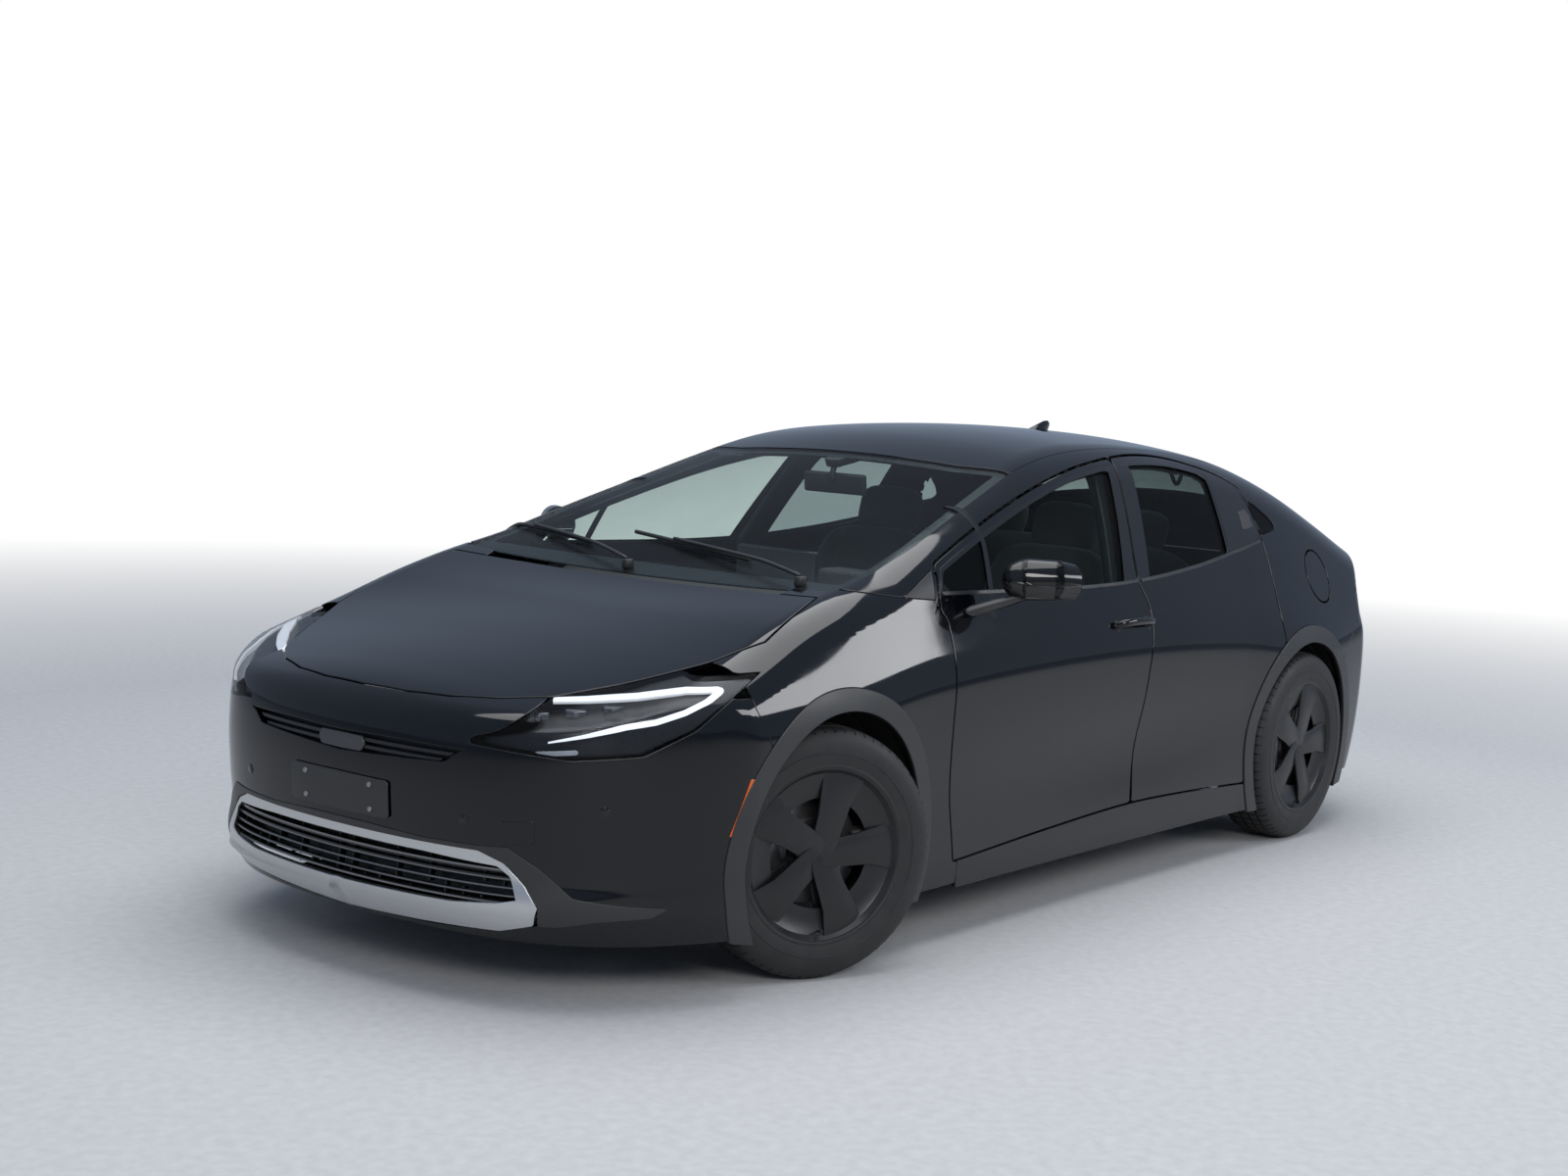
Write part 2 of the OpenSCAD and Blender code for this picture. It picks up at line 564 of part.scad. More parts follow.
// The hood's net narrows with the nose, and its frame ends in a thin hem along its front edge
hood_reach = [[1240, 770], [1700, 770], [1960, 650], [2106, 480], [2218, 260]];
function hood_depth(p) = mix(hood_wall, hood_hem, min(1, max(0, (p.x - 1800) / 250)));
module hood() {
    color("#0b0d10") cut_mesh() difference() {
        intersection() {
            sheet([for (x = steps(1240, 2218, 8)) [for (v = steps(1, -1, 10)) up_ray(x, v * curve(hood_reach, x))]],
                deep(0), function(p) hood_depth(p));
            plan_prism(mirrored_plan(hood_half), 0, 600);
        }
        both_sides() across(hood_hinge[0], hood_hinge[1], hood_hinge_z(), false) neck_pocket(130, 80);
    }
}
hatch_angles = [62, 74, 90, 106, 122, 138, 148, 155, 159, 163, 168, 174, 180];
module hatch_shape(a, b) { hatch_sheet(hatch_angles, 700, 10, a, b); }
module hatch_zone(grow = 0) {
    intersection() {
        plan_prism(mirrored_plan(hatch_half), grow, 600);
        union() {
            end_prism(mirrored(hatch_end_half), grow, -3000, -1950);
            translate([-2000, -1000, pz(880)]) cube([1200, 2000, 800]);
        }
    }
}
bar_half = [[0, 930], [566, 928], [566, 874], [0, 880]];
module hatch() {
    color("#0b0d10") cut_mesh() difference() {
        intersection() {
            hatch_shape(deep(0), deep(hatch_wall));
            hatch_zone();
        }
        both_sides() across(hatch_hinge[0], hatch_hinge[1], hatch_hinge_z(), true) neck_pocket(130, 80);
        plan_prism(mirrored_plan(hatch_window_half), 0, 600);
        end_prism(mirrored(bar_half), seam, -3000, -2000);
    }
}
module hatch_glass() {
    color("#141b20", 0.5) cut_mesh() intersection() {
        hatch_shape(deep(glass_depth - 3), deep(glass_depth - 3 + glass_wall));
        plan_prism(mirrored_plan(hatch_window_half), -seam, 600);
    }
}
module light_bar() {
    color("#7a0f12") cut_mesh() intersection() {
        hatch_shape(deep(2), deep(36));
        end_prism(mirrored(bar_half), 0, -3000, -2000);
    }
}
module lamps() {
    both_sides() {
        color("#20262b") cut_mesh() difference() {
            intersection() {
                nose_sheet(80, 18, [590, 620, 655, 690, 725, 760, 790, 825], deep(0.5), deep(60));
                headlamp_prism();
            }
            plan_prism(mirrored_plan(hood_half), shut_gap, 600);
        }
        color("#7a0f12") cut_mesh() difference() {
            intersection() {
                tail_sheet(84, 16, [820, 850, 880, 910, 945], deep(0.5), deep(50));
                tail_lamp_prism();
            }
            plan_prism(mirrored_plan(hatch_half), shut_gap, 600);
        }
    }
}
module arch_trims() {
    both_sides() color("#1b1d1f") for (x = [drawn_front, drawn_rear]) cut_mesh() difference() {
        intersection() {
            side_sheet(x - 460, x + 460, 5, [-34.4, -20, -6, 6, 18], deep(-4), deep(22));
            arch_cut(arch_outer);
        }
        arch_cut(arch_radius);
    }
}
module quarter_glass() {
    both_sides() color("#141b20", 0.5) {
        cut_mesh() intersection() {
            side_sheet(-1360, -1200, 2, [32, 40, 48, 56], deep(glass_depth - 3), deep(glass_depth + 2));
            side_prism(quarter_window);
        }
        cut_mesh() intersection() {
            side_sheet(820, 1010, 2, [26, 32, 38], deep(glass_depth - 3), deep(glass_depth + 2));
            side_prism(sail, -0.4);
        }
    }
}

// ---- Doors ------------------------------------------------------------------------
// Hinge axes in plan; each door turns on two goose-neck arms that reach inwards first
front_hinge = [745, 848];
rear_hinge = [-355, 844];
front_hinge_heights = [500, 720];
rear_hinge_heights = [600, 740];
hinge_radius = 8;
hinge_half = 13.7;
neck_length = 150;
neck_angle = 66;
end_float = 0.3;

// Arm from the axis at the origin, inwards (-v) and then to the point post, in the u,v plane
module goose_neck(post, length = neck_length, angle = neck_angle) {
    knee = length * [cos(angle), -sin(angle)];
    cylinder(r = hinge_radius, h = 2 * hinge_half, center = true, $fn = 20);
    linear_extrude(16, center = true) {
        hull() { circle(hinge_radius - 1, $fn = 8); translate(knee) circle(8, $fn = 8); }
        hull() { translate(knee) circle(8, $fn = 8); translate(post) circle(8, $fn = 8); }
    }
}
// Room in the moving panel for one arm
module neck_pocket(reach_u, reach_v) {
    translate([-hinge_radius - 12, -reach_v, -hinge_half - end_float])
        cube([reach_u, reach_v + hinge_radius + 2, 2 * (hinge_half + end_float)]);
}
module at_hinge(axis, z) { translate([px(axis[0]), py(axis[1]), pz(z)]) children(); }

module door_panel(outline, window, x0, x1, nx, hinge, heights) {
    difference() {
        intersection() {
            side_sheet(x0, x1, nx, side_angles, deep(0), function(p) door_depth(p));
            side_prism(outline);
        }
        side_prism(window);
        for (z = heights) at_hinge(hinge, z) neck_pocket(190, 170);
    }
}
module pull_handle() {
    // A bowed grip that stands off the skin on two feet, over a shallow dish
    y = reach([-158, 0, 846], [0, 1, 0]);
    translate(place([-158, y, 846])) {
        hull() for (x = [-82, 82]) translate([x, 26, x / 24]) scale([1.6, 0.6, 1]) sphere(11, $fn = 12);
        for (x = [-78, 78]) translate([x, 6, x / 24]) rotate([-90, 0, 0]) cylinder(r = 7, h = 18, $fn = 12);
        for (x = [-78, 78]) translate([x, -8, x / 24]) rotate([-90, 0, 0]) cylinder(r = 9, h = 14, $fn = 12);
    }
}
module door_front(right) {
    side(right) color("#0b0d10") cut_mesh() {
        door_panel(front_door, front_window, -440, 880, 8, front_hinge, front_hinge_heights);
        intersection() {
            side_sheet(480, 660, 2, [20, 28, 37, 46], deep(2), deep(frame_wall - 4));
            side_prism(quarter_bar);
            side_prism(front_window, 1);
        }
        pull_handle();
    }
}
module door_rear(right) {
    side(right) color("#0b0d10") cut_mesh()
        door_panel(rear_door, rear_window, -1240, -200, 7, rear_hinge, rear_hinge_heights);
}
module front_door_glass(right) {
    side(right) color("#1d2a33", 0.5) cut_mesh() difference() {
        intersection() {
            side_sheet(-440, 880, 7, glass_angles, deep(glass_depth), deep(glass_depth + glass_wall));
            side_prism(front_window, -seam);
        }
        side_prism(quarter_bar, seam);
    }
}
module rear_door_glass(right) {
    side(right) color("#1d2a33", 0.5) cut_mesh() intersection() {
        side_sheet(-1240, -200, 5, glass_angles, deep(glass_depth), deep(glass_depth + glass_wall));
        side_prism(rear_window, -seam);
    }
}
mirror_foot = [685, 925];
module mirror_shell(right) {
    // Housing on a short arm that stands on the door below the window's front corner
    y = side_y(mirror_foot[0], mirror_foot[1]);
    side(right) color("#0b0d10") cut_mesh() translate(place([mirror_foot[0], y, mirror_foot[1]])) {
        difference() {
            hull() {
                translate([0, end_float - 8, 0]) scale([1.7, 0.5, 0.6]) sphere(34, $fn = 12);
                translate([-90, 96, 44]) scale([1.6, 0.7, 0.3]) sphere(34, $fn = 12);
            }
            translate([-120, -95 + end_float, -60]) cube([240, 100, 160]);
        }
        difference() {
            hull() {
                translate([-88, 78, 92]) scale([1, 0.7, 1]) sphere(56, $fn = 14);
                translate([-104, 100, 94]) scale([1.05, 1, 1.08]) sphere(60, $fn = 14);
                translate([-206, 196, 90]) scale([0.9, 0.7, 0.95]) sphere(54, $fn = 14);
            }
            translate([-206, 128, 0]) rotate([0, 0, -8]) translate([-400, -200, 0]) cube([400, 400, 240]);
        }
    }
}

// ---- Wheels, tyres and what carries them ---------------------------------------------
spindle_r = spindle_diameter / 2;
rim_r = rim_diameter / 2;
bead_r = rim_r - 14;
rim_half = tyre_width / 2 - 12;
kingpin_offset = 30;
kingpin_y = front_track / 2 - kingpin_offset;
kingpin_r = 10;
arm_rise = 100;
arm_wall = 24;
disc_radius = 145;

// Each wheel stands on its own axis +Y, outwards, with its centre plane at the origin
module tyre() {
    r = tyre_diameter / 2;
    w = tyre_width / 2;
    color("#141516") rotate([-90, 0, 0]) rotate_extrude($fn = 64) polygon([
        [bead_r + end_float, -rim_half + 4.3], [rim_r + end_float, -rim_half + end_float], [rim_r + 3, -w + 8], [rim_r + 22, -w + 1], [rim_r + 45, -w],
        [r - 30, -w + 5], [r - 12, -w + 14], [r - 4, -w + 28], [r, -w + 50],
        [r, w - 50], [r - 4, w - 28], [r - 12, w - 14], [r - 30, w - 5],
        [rim_r + 45, w], [rim_r + 22, w - 1], [rim_r + 3, w - 8],
        [rim_r + end_float, rim_half - end_float], [bead_r + end_float, rim_half - 4.3],
        [bead_r + end_float, 40], [rim_r + 22, 30], [rim_r + 22, -30], [bead_r + end_float, -40]]);
}
module tapered_window(a, r0, r1, w0, w1) {
    rotate([0, a, 0]) translate([0, 0, 0]) rotate([-90, 0, 0]) linear_extrude(200, center = true)
        polygon([[r0, -w0 / 2], [r1, -w1 / 2], [r1 + 8, 0], [r1, w1 / 2], [r0, w0 / 2]]);
}
module wheel() {
    color("#1a1b1d") rotate([-90, 0, 0]) difference() {
        union() {
            rotate_extrude($fn = 64) polygon([
                [rim_r - 12, -rim_half - 6], [rim_r, -rim_half - 6], [rim_r, -rim_half], [bead_r, -rim_half + 4],
                [bead_r, -40], [bead_r - 16, -30], [bead_r - 16, 30], [bead_r, 40], [bead_r, rim_half - 4],
                [rim_r, rim_half], [rim_r, rim_half + 6], [rim_r - 12, rim_half + 6],
                [bead_r - 8, rim_half - 8], [bead_r - 8, 44], [bead_r - 24, 30], [bead_r - 24, -30],
                [bead_r - 8, -44], [bead_r - 8, -rim_half + 4]]);
            // dished face with five openings
            difference() {
                translate([0, 0, 52]) cylinder(r1 = rim_r - 14, r2 = rim_r - 18, h = 14);
                for (k = [0 : 4]) rotate([0, 0, 72 * k + 36]) translate([0, 0, 30]) linear_extrude(60)
                    polygon([[66, -10], [196, -44], [204, 0], [196, 44], [66, 10]]);
            }
            cylinder(r = 70, h = 54);
            translate([0, 0, -8]) cylinder(r = disc_radius, h = 22);
            translate([0, 0, -8]) cylinder(r = 66, h = 60);
        }
        translate([0, 0, -60]) cylinder(r = spindle_r + running_clearance, h = 100);
    }
}
module rear_wheel_place(right) { side(right) translate([rear_axle, rear_track / 2, axle_height]) children(); }
module front_wheel_place(right) {
    translate([front_axle, right ? -kingpin_y : kingpin_y, axle_height]) rotate([0, 0, -rest_steer])
        side(right) translate([0, kingpin_offset, 0]) children();
}
module knuckle(right) {
    // Upright with two kingpins, the spindle, and the brake caliper
    color("#3a3c3e") front_wheel_place(right) difference() {
        union() {
            translate([0, -kingpin_offset, -arm_rise - arm_wall]) cylinder(r = kingpin_r, h = 2 * (arm_rise + arm_wall));
            translate([-26, -kingpin_offset - 22, -arm_rise + end_float]) cube([52, 36, 2 * (arm_rise - end_float)]);
            translate([0, -kingpin_offset, 0]) rotate([-90, 0, 0]) cylinder(r = spindle_r, h = kingpin_offset + 30);
            // caliper over the edge of the disc, on a bracket
            translate([-178, -28, -14]) cube([170, 12, 28]);
            difference() {
                translate([-178, -28, -45]) cube([58, 62, 90]);
                translate([-disc_radius - 6, -14, -60]) cube([60, 34, 120]);
            }
        }
        translate([0, -60, 0]) rotate([-90, 0, 0]) cylinder(r = 5, h = 100);
    }
}
module front_arms() {
    // Lower and upper arm of one side, each with a bore for the kingpin
    for (z = [-arm_rise - arm_wall, arm_rise]) translate([front_axle, 0, axle_height + z]) difference() {
        union() {
            translate([0, kingpin_y, 0]) cylinder(r = 16, h = arm_wall);
            linear_extrude(arm_wall) polygon([[-14, kingpin_y], [14, kingpin_y], [60, 430], [-60, 430]]);
        }
        translate([0, kingpin_y, -1]) cylinder(r = kingpin_r + running_clearance, h = arm_wall + 2);
    }
}
module suspension() {
    color("#2c2e30") {
        both_sides() {
            front_arms();
            translate([front_axle - 120, 400, pz(205)]) cube([240, 90, rail_bottom - seam - pz(205)]);
            // rear: stub axle, upright and arms
            translate([rear_axle, 0, axle_height]) {
                translate([0, 600, 0]) rotate([-90, 0, 0]) cylinder(r = spindle_r, h = rear_track / 2 + 30 - 600);
                translate([-45, rear_track / 2 - 84, -90]) cube([90, 34, 150]);
                translate([-18, 300, -84]) cube([36, rear_track / 2 - 384, 26]);
                translate([-18, 300, 18]) cube([36, rear_track / 2 - 384, 22]);
            }
            translate([rear_axle - 40, 290, axle_height - 90])
                cube([80, 40, boot_floor - 20 - seam - axle_height + 90]);
        }
        translate([front_axle - 230, -450, pz(205)]) cube([60, 900, 50]);
        translate([front_axle + 170, -450, pz(205)]) cube([60, 900, 50]);
        both_sides() translate([front_axle - 230, 400, pz(205)]) cube([460, 50, 50]);
        translate([rear_axle - 60, -330, axle_height - 60]) cube([120, 660, 50]);
    }
}

// ---- Structure -------------------------------------------------------------------------
floor_top = pz(215);
boot_floor = axle_height + 67; // over the rear axle's upper arms
rail_bottom = pz(470);
module floor_pan() {
    color("#191b1c") cut_mesh() difference() {
        union() {
            // cabin floor with its tunnel
            translate([px(-960), -py(772), pz(190)]) cube([px(945) - px(-960), 2 * py(772), floor_top - pz(190)]);
            translate([px(-960), -130, pz(190)]) cube([px(945) - px(-960), 260, 120]);
            // firewall, rear seat step, boot floor and tail panel
            translate([px(915), -py(700), pz(190)]) cube([30, 2 * py(700), pz(900) - pz(190)]);
            translate([px(-985), -py(620), pz(190)]) cube([25, 2 * py(620), boot_floor - pz(190)]);
            translate([px(-2150), -py(560), boot_floor - 20]) cube([px(-960) - px(-2150), 2 * py(560), 20]);
            translate([px(-2150), -py(560), boot_floor - 20]) cube([20, 2 * py(560), pz(690) - boot_floor + 20]);
            // front rails and crash beam
            both_sides() translate([px(940), 440, rail_bottom]) cube([px(2150) - px(940), 50, 80]);
            translate([px(2130), -515, rail_bottom]) cube([40, 1030, 80]);
            // tray under the engine
            translate([px(940), -400, pz(172)]) cube([px(2130) - px(940), 800, 8]);
            translate([px(940), -400, pz(172)]) cube([20, 800, pz(215) - pz(172)]);
            both_sides() {
                wheel_tub();
                front_liner();
            }
        }
        both_sides() {
            sheet([for (x = steps(-1000, 800, 8)) [for (t = sill_angles) hoop_ray(x, t)]],
                deep(-80), deep(92 + seam));
        }
        translate([px(-1000), -105, pz(180)]) cube([px(1000) - px(-1000), 210, 112]);
        both_sides() {
            translate([px(738), 700 - seam, pz(160)]) cube([300, 200, 80]);
            translate([px(893) - seam, 660 - seam, pz(160)]) cube([100, 200, 900]);
        }
    }
}
module wheel_tub() {
    // inner wheel house over the rear wheel
    translate([rear_axle, py(790), axle_height]) rotate([90, 0, 0]) difference() {
        cylinder(r = arch_radius + 22, h = py(790) - py(548), $fn = 40);
        translate([0, 0, -1]) cylinder(r = arch_radius + 10, h = py(790) - py(548) - 11, $fn = 40);
        translate([-600, -900 + boot_floor - 20 - axle_height, -1]) cube([1200, 900, 400]);
    }
}
module front_liner() {
    // arched liner over a front wheel, from the rail to the fender
    translate([front_axle, py(740), axle_height]) rotate([90, 0, 0]) difference() {
        cylinder(r = arch_radius + 20, h = py(740) - 488, $fn = 32);
        translate([0, 0, -1]) cylinder(r = arch_radius + 12, h = py(740) - 480, $fn = 32);
        translate([-600, -900 + rail_bottom - axle_height, -1]) cube([1200, 900, 500]);
    }
}
module engine_block() {
    color("#4a4c4e") translate([front_axle - 200, -380, pz(205) + 50 + seam]) cube([460, 720, 400]);
}
module battery_block() {
    color("#55585a") both_sides() translate([px(-950), 135, floor_top + end_float]) cube([400, 365, 130]);
}
module fuel_tank() {
    color("#1c1d1e") translate([px(-1240), 70, boot_floor - 20 - end_float - 150]) cube([230, 440, 150]);
}
module exhaust() {
    color("#6d6f70") {
        translate([px(1000), 0, pz(232)]) rotate([0, -90, 0]) cylinder(r = 26, h = px(1000) - px(-1840));
        translate([px(-2080), -260, pz(232)]) cube([280, 420, boot_floor - 20 - seam - pz(232)]);
    }
}
cowl_floor = pz(820);
cowl_half = py(640);
module cowl() {
    // trough under the rear edge of the hood, with the hood's hinge arms
    color("#131415") cut_mesh() {
        translate([px(945) + seam, -cowl_half, cowl_floor]) cube([px(1250) - px(945), 2 * cowl_half, 12]);
        translate([px(1128), -cowl_half, cowl_floor]) cube([10, 2 * cowl_half, pz(940) - cowl_floor]);
        lid_arms(hood_hinge, hood_hinge_z(), false,
            [px(hood_hinge[0]) - px(1215), cowl_floor + 6 - pz(hood_hinge_z())]);
    }
}
module dashboard() {
    color("#202224") {
        translate([0, py(640), 0]) rotate([90, 0, 0]) linear_extrude(py(1280)) polygon([for (p = [
            [914.7, 640], [914.7, 890], [800, 925], [620, 935], [540, 900], [560, 800], [640, 700], [660, 640]])
            elevation(p)]);
        translate([px(560), -150, pz(900)]) cube([16, 300, 120]);
        translate([px(-260), -108, floor_top + end_float + 95]) cube([px(700) - px(-260), 216, 200]);
        steering_place() difference() {
            translate([0, 0, 60]) cylinder(r = 30, h = 260);
            cylinder(r = 12 + running_clearance, h = 190);
        }
    }
}
steering_centre = [330, 370, 835];
steering_rake = 25;
module steering_place() {
    translate([px(steering_centre.x), steering_centre.y, pz(steering_centre.z)])
        rotate([0, 90 + steering_rake, 0]) children();
}
module steering_wheel() {
    r = steering_wheel_diameter / 2;
    color("#18191a") steering_place() {
        rotate_extrude($fn = 48) translate([r - 14, 0]) circle(14, $fn = 24);
        cylinder(r = 12, h = 170);
        translate([0, 0, 12]) cylinder(r1 = 62, r2 = 40, h = 34);
        for (a = [0, 180]) rotate([0, 0, a + 90]) translate([30, -22, 6]) cube([r - 40, 44, 14]);
        translate([30, -16, 6]) cube([r - 40, 32, 12]);
    }
}
module cushion(size, r) {
    hull() for (x = [r, size.x - r], y = [r, size.y - r], z = [r, size.z - r])
        translate([x, y, z]) sphere(r, $fn = 8);
}
seat_place = px(-300);
module front_seat() {
    translate([seat_place - 40, -seat_width / 2, floor_top + 120]) cushion([520, seat_width, 140], 45);
    translate([seat_place, -seat_width / 2 + 15, floor_top + 200]) rotate([0, -22, 0])
        cushion([120, seat_width - 30, 640], 45);
    translate([seat_place - 260, -130, floor_top + 785]) rotate([0, -14, 0]) cushion([90, 260, 170], 38);
}
module front_seats() {
    color("#1f2123") both_sides() {
        translate([0, seat_offset, 0]) front_seat();
        translate([seat_place, seat_offset - 200, floor_top + end_float]) cube([420, 400, 122]);
    }
}
module rear_seat() {
    color("#1f2123") {
        translate([px(-955), -600, floor_top + 130 + 2 * end_float]) cushion([450, 1200, 150], 45);
        translate([px(-950), -600, floor_top + 260]) rotate([0, -24, 0]) {
            cushion([130, 1200, 560], 45);
            for (y = [180, 770]) translate([25, y, 525]) cushion([80, 250, 165], 34);
        }
    }
}

// ---- Lids and their hinges ---------------------------------------------------------------
hood_hinge = [1335, 560];
hatch_hinge = [-1098, 488];
lid_drop = 24;
// Cross hinges lie along Y: u runs from the lid's free end to its hinge edge, v up
module across(x, y, z, forwards) {
    translate([px(x), py(y), pz(z)]) rotate([90, 0, 0]) {
        if (forwards) children();
        else mirror([1, 0, 0]) children();
    }
}
function hood_hinge_z() = skin_top(hood_hinge[0], hood_hinge[1]) - lid_drop;
function hatch_hinge_z() = skin_top(hatch_hinge[0], hatch_hinge[1]) - lid_drop;
module filler_lid(right) {
    // Round lid on a pin in its leading edge, which turns in the cup's two ears
    side(right) color("#0b0d10") cut_mesh() {
        port_disc(port_radius, 0, 8);
        at_port_hinge() cylinder(r = port_pin_radius, h = 75, center = true, $fn = 8);
    }
}
module lid_arms(hinge, z, forwards, post, length = 110, angle = neck_angle) {
    both_sides() across(hinge[0], hinge[1], z, forwards) goose_neck(post, length, angle);
}

floor_pan();
side_frames();
roof_panel();
fenders();
front_bumper();
lower_grille();
rear_bumper();
windshield();
quarter_glass();
lamps();
arch_trims();
dashboard();
front_seats();
rear_seat();
engine_block();
battery_block();
fuel_tank();
exhaust();
suspension();
cowl();
knuckle(false);  // knuckle_left
knuckle(true);  // knuckle_right
front_wheel_place(false) tyre();  // tyre_fl
front_wheel_place(true) tyre();  // tyre_fr
rear_wheel_place(false) tyre();  // tyre_rl
rear_wheel_place(true) tyre();  // tyre_rr
front_wheel_place(false) wheel();  // wheel_fl
front_wheel_place(true) wheel();  // wheel_fr
rear_wheel_place(false) wheel();  // wheel_rl
rear_wheel_place(true) wheel();  // wheel_rr
steering_wheel();
door_front(false);  // door_fl
door_front(true);  // door_fr
door_rear(false);  // door_rl
door_rear(true);  // door_rr
front_door_glass(false);  // glass_fl
front_door_glass(true);  // glass_fr
rear_door_glass(false);  // glass_rl
rear_door_glass(true);  // glass_rr
mirror_shell(false);  // mirror_left
mirror_shell(true);  // mirror_right
hatch();
hatch_glass();
light_bar();
hood();
filler_lid(false);  // fuel_door
filler_lid(true);  // charge_door
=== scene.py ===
"""Looks of a plug-in hybrid hatchback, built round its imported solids.

The painted skin is the same rule as the solids': the inside of a side, a top, a nose and
a tail surface, joined softly. A panel is a fine net on that skin, trimmed along its shut
lines, with rolled edges and the thickness of the whole wall. Lengths below are in
millimetres until a piece is finished, and then in metres.
"""
import math

import bmesh
import bpy
import numpy as np
from mathutils import Matrix, Vector


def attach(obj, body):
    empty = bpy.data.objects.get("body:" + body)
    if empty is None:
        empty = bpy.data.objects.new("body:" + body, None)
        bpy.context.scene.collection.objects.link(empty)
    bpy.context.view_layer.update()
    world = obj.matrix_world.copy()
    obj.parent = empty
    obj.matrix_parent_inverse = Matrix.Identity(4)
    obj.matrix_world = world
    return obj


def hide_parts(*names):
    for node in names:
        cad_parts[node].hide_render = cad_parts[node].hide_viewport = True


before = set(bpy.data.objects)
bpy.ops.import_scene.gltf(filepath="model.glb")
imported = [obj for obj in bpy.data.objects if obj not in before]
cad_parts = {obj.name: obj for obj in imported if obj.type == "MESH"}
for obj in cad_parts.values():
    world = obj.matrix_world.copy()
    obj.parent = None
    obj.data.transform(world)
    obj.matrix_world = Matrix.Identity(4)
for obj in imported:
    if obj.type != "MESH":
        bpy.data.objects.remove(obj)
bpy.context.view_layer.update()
MM = 0.001

# ---- Curves and the skin ---------------------------------------------------------


class Curve:
    """A smooth curve through a few points, straight beyond its ends."""

    def __init__(self, points):
        self.x, self.y = np.array(points, float).T
        n = len(self.x)
        lo, hi = np.maximum(np.arange(n) - 1, 0), np.minimum(np.arange(n) + 1, n - 1)
        self.slope = (self.y[hi] - self.y[lo]) / (self.x[hi] - self.x[lo])

    def __call__(self, x):
        x = np.asarray(x, float)
        i = np.clip(np.searchsorted(self.x, x, side="right") - 1, 0, len(self.x) - 2)
        h = self.x[i + 1] - self.x[i]
        far = (x - self.x[i]) / h
        u = np.clip(far, 0, 1)
        u2, u3 = u * u, u * u * u
        a, b = self.slope[i] * h, self.slope[i + 1] * h
        y = (2 * u3 - 3 * u2 + 1) * self.y[i] + (u3 - 2 * u2 + u) * a
        y = y + (3 * u2 - 2 * u3) * self.y[i + 1] + (u3 - u2) * b
        return y + np.where(far < 0, far * a, np.where(far > 1, (far - 1) * b, 0))


def soft_max(a, b, k):
    """The larger of two values, with a round corner of this width between them."""
    h = np.maximum(k - np.abs(a - b), 0)
    return np.maximum(a, b) + h * h / (4 * k)


def soft_min(a, b, k):
    """The smaller of two values, with a round corner."""
    return -soft_max(-a, -b, k)


def swell(x, centre, width):
    return np.exp(-(((x - centre) / width) ** 2))


top_line = Curve([(-2300, 1004), (-2050, 1100), (-1800, 1205), (-1500, 1305), (-1150, 1378),
                  (-750, 1408), (-300, 1412), (0, 1388), (215, 1338), (700, 1170), (1235, 968),
                  (1500, 905), (1800, 842), (2050, 787), (2200, 742), (2290, 684)])
crown = Curve([(-2200, 70), (-1800, 84), (-1200, 66), (-300, 46), (215, 46), (1000, 8),
               (1300, -14), (1700, 18), (2000, 40), (2300, 60)])
widest = Curve([(-2300, 765), (-1900, 845), (-1400, 888), (-900, 874), (-300, 868), (400, 868),
                (900, 874), (1350, 886), (1800, 866), (2300, 800)])
widest_height = Curve([(-2300, 760), (-1400, 745), (-300, 770), (600, 760), (1350, 735),
                       (2300, 640)])
roll_in = Curve([(-2300, 1.5), (-1400, 1.25), (-300, 1.25), (900, 1.2), (1350, 1.9),
                 (1700, 2.8), (2300, 2.8)])
greenhouse = Curve([(-2250, 760), (-1800, 775), (-1400, 792), (-1000, 804), (-300, 815),
                    (500, 812), (1100, 800), (1500, 780)])
nose_line = Curve([(150, 2215), (190, 2245), (255, 2275), (330, 2268), (420, 2278), (520, 2286),
                   (600, 2285), (660, 2280), (720, 2270), (800, 2250)])
tail_line = Curve([(150, 2190), (260, 2245), (400, 2285), (560, 2298), (700, 2285), (790, 2235),
                   (900, 2215), (1000, 2225), (1100, 2240)])


def side_surface(x, z):
    """How far out the car's side stands at a station and height."""
    h = widest_height(x)
    up, down = np.maximum(z - h, 0), np.maximum(h - z, 0)
    turn = np.minimum(up, 190)
    lower = (widest(x) - roll_in(x) / 1000 * turn * (2 * up - turn)
             - 26 * swell(z, 430, 150) * swell(x, -150, 900) - 8 * (down / 500) ** 2)
    d = z - 960
    upper = greenhouse(x) - 0.36 * d - 0.00045 * d * np.abs(d)
    return soft_min(lower, upper, 60)


def beyond_skin(p):
    """About the distance of points from the skin, below zero inside the car."""
    x, y, z = p[:, 0], np.abs(p[:, 1]), p[:, 2]
    top = top_line(x) - crown(x) * (y / 600) ** 2
    hoop = soft_max(y - side_surface(x, z), z - top, 90)
    nose = nose_line(z) - 44 * (y / 412) ** 2 - 87 * (y / 690) ** 6
    tail = tail_line(z) - 65 * (y / 650) ** 2 - 150 * (y / 780) ** 6
    hoop = np.where(x > 1200, soft_max(hoop, x - nose, 40), hoop)
    return np.where(x < -1200, soft_max(hoop, -x - tail, 30), hoop)


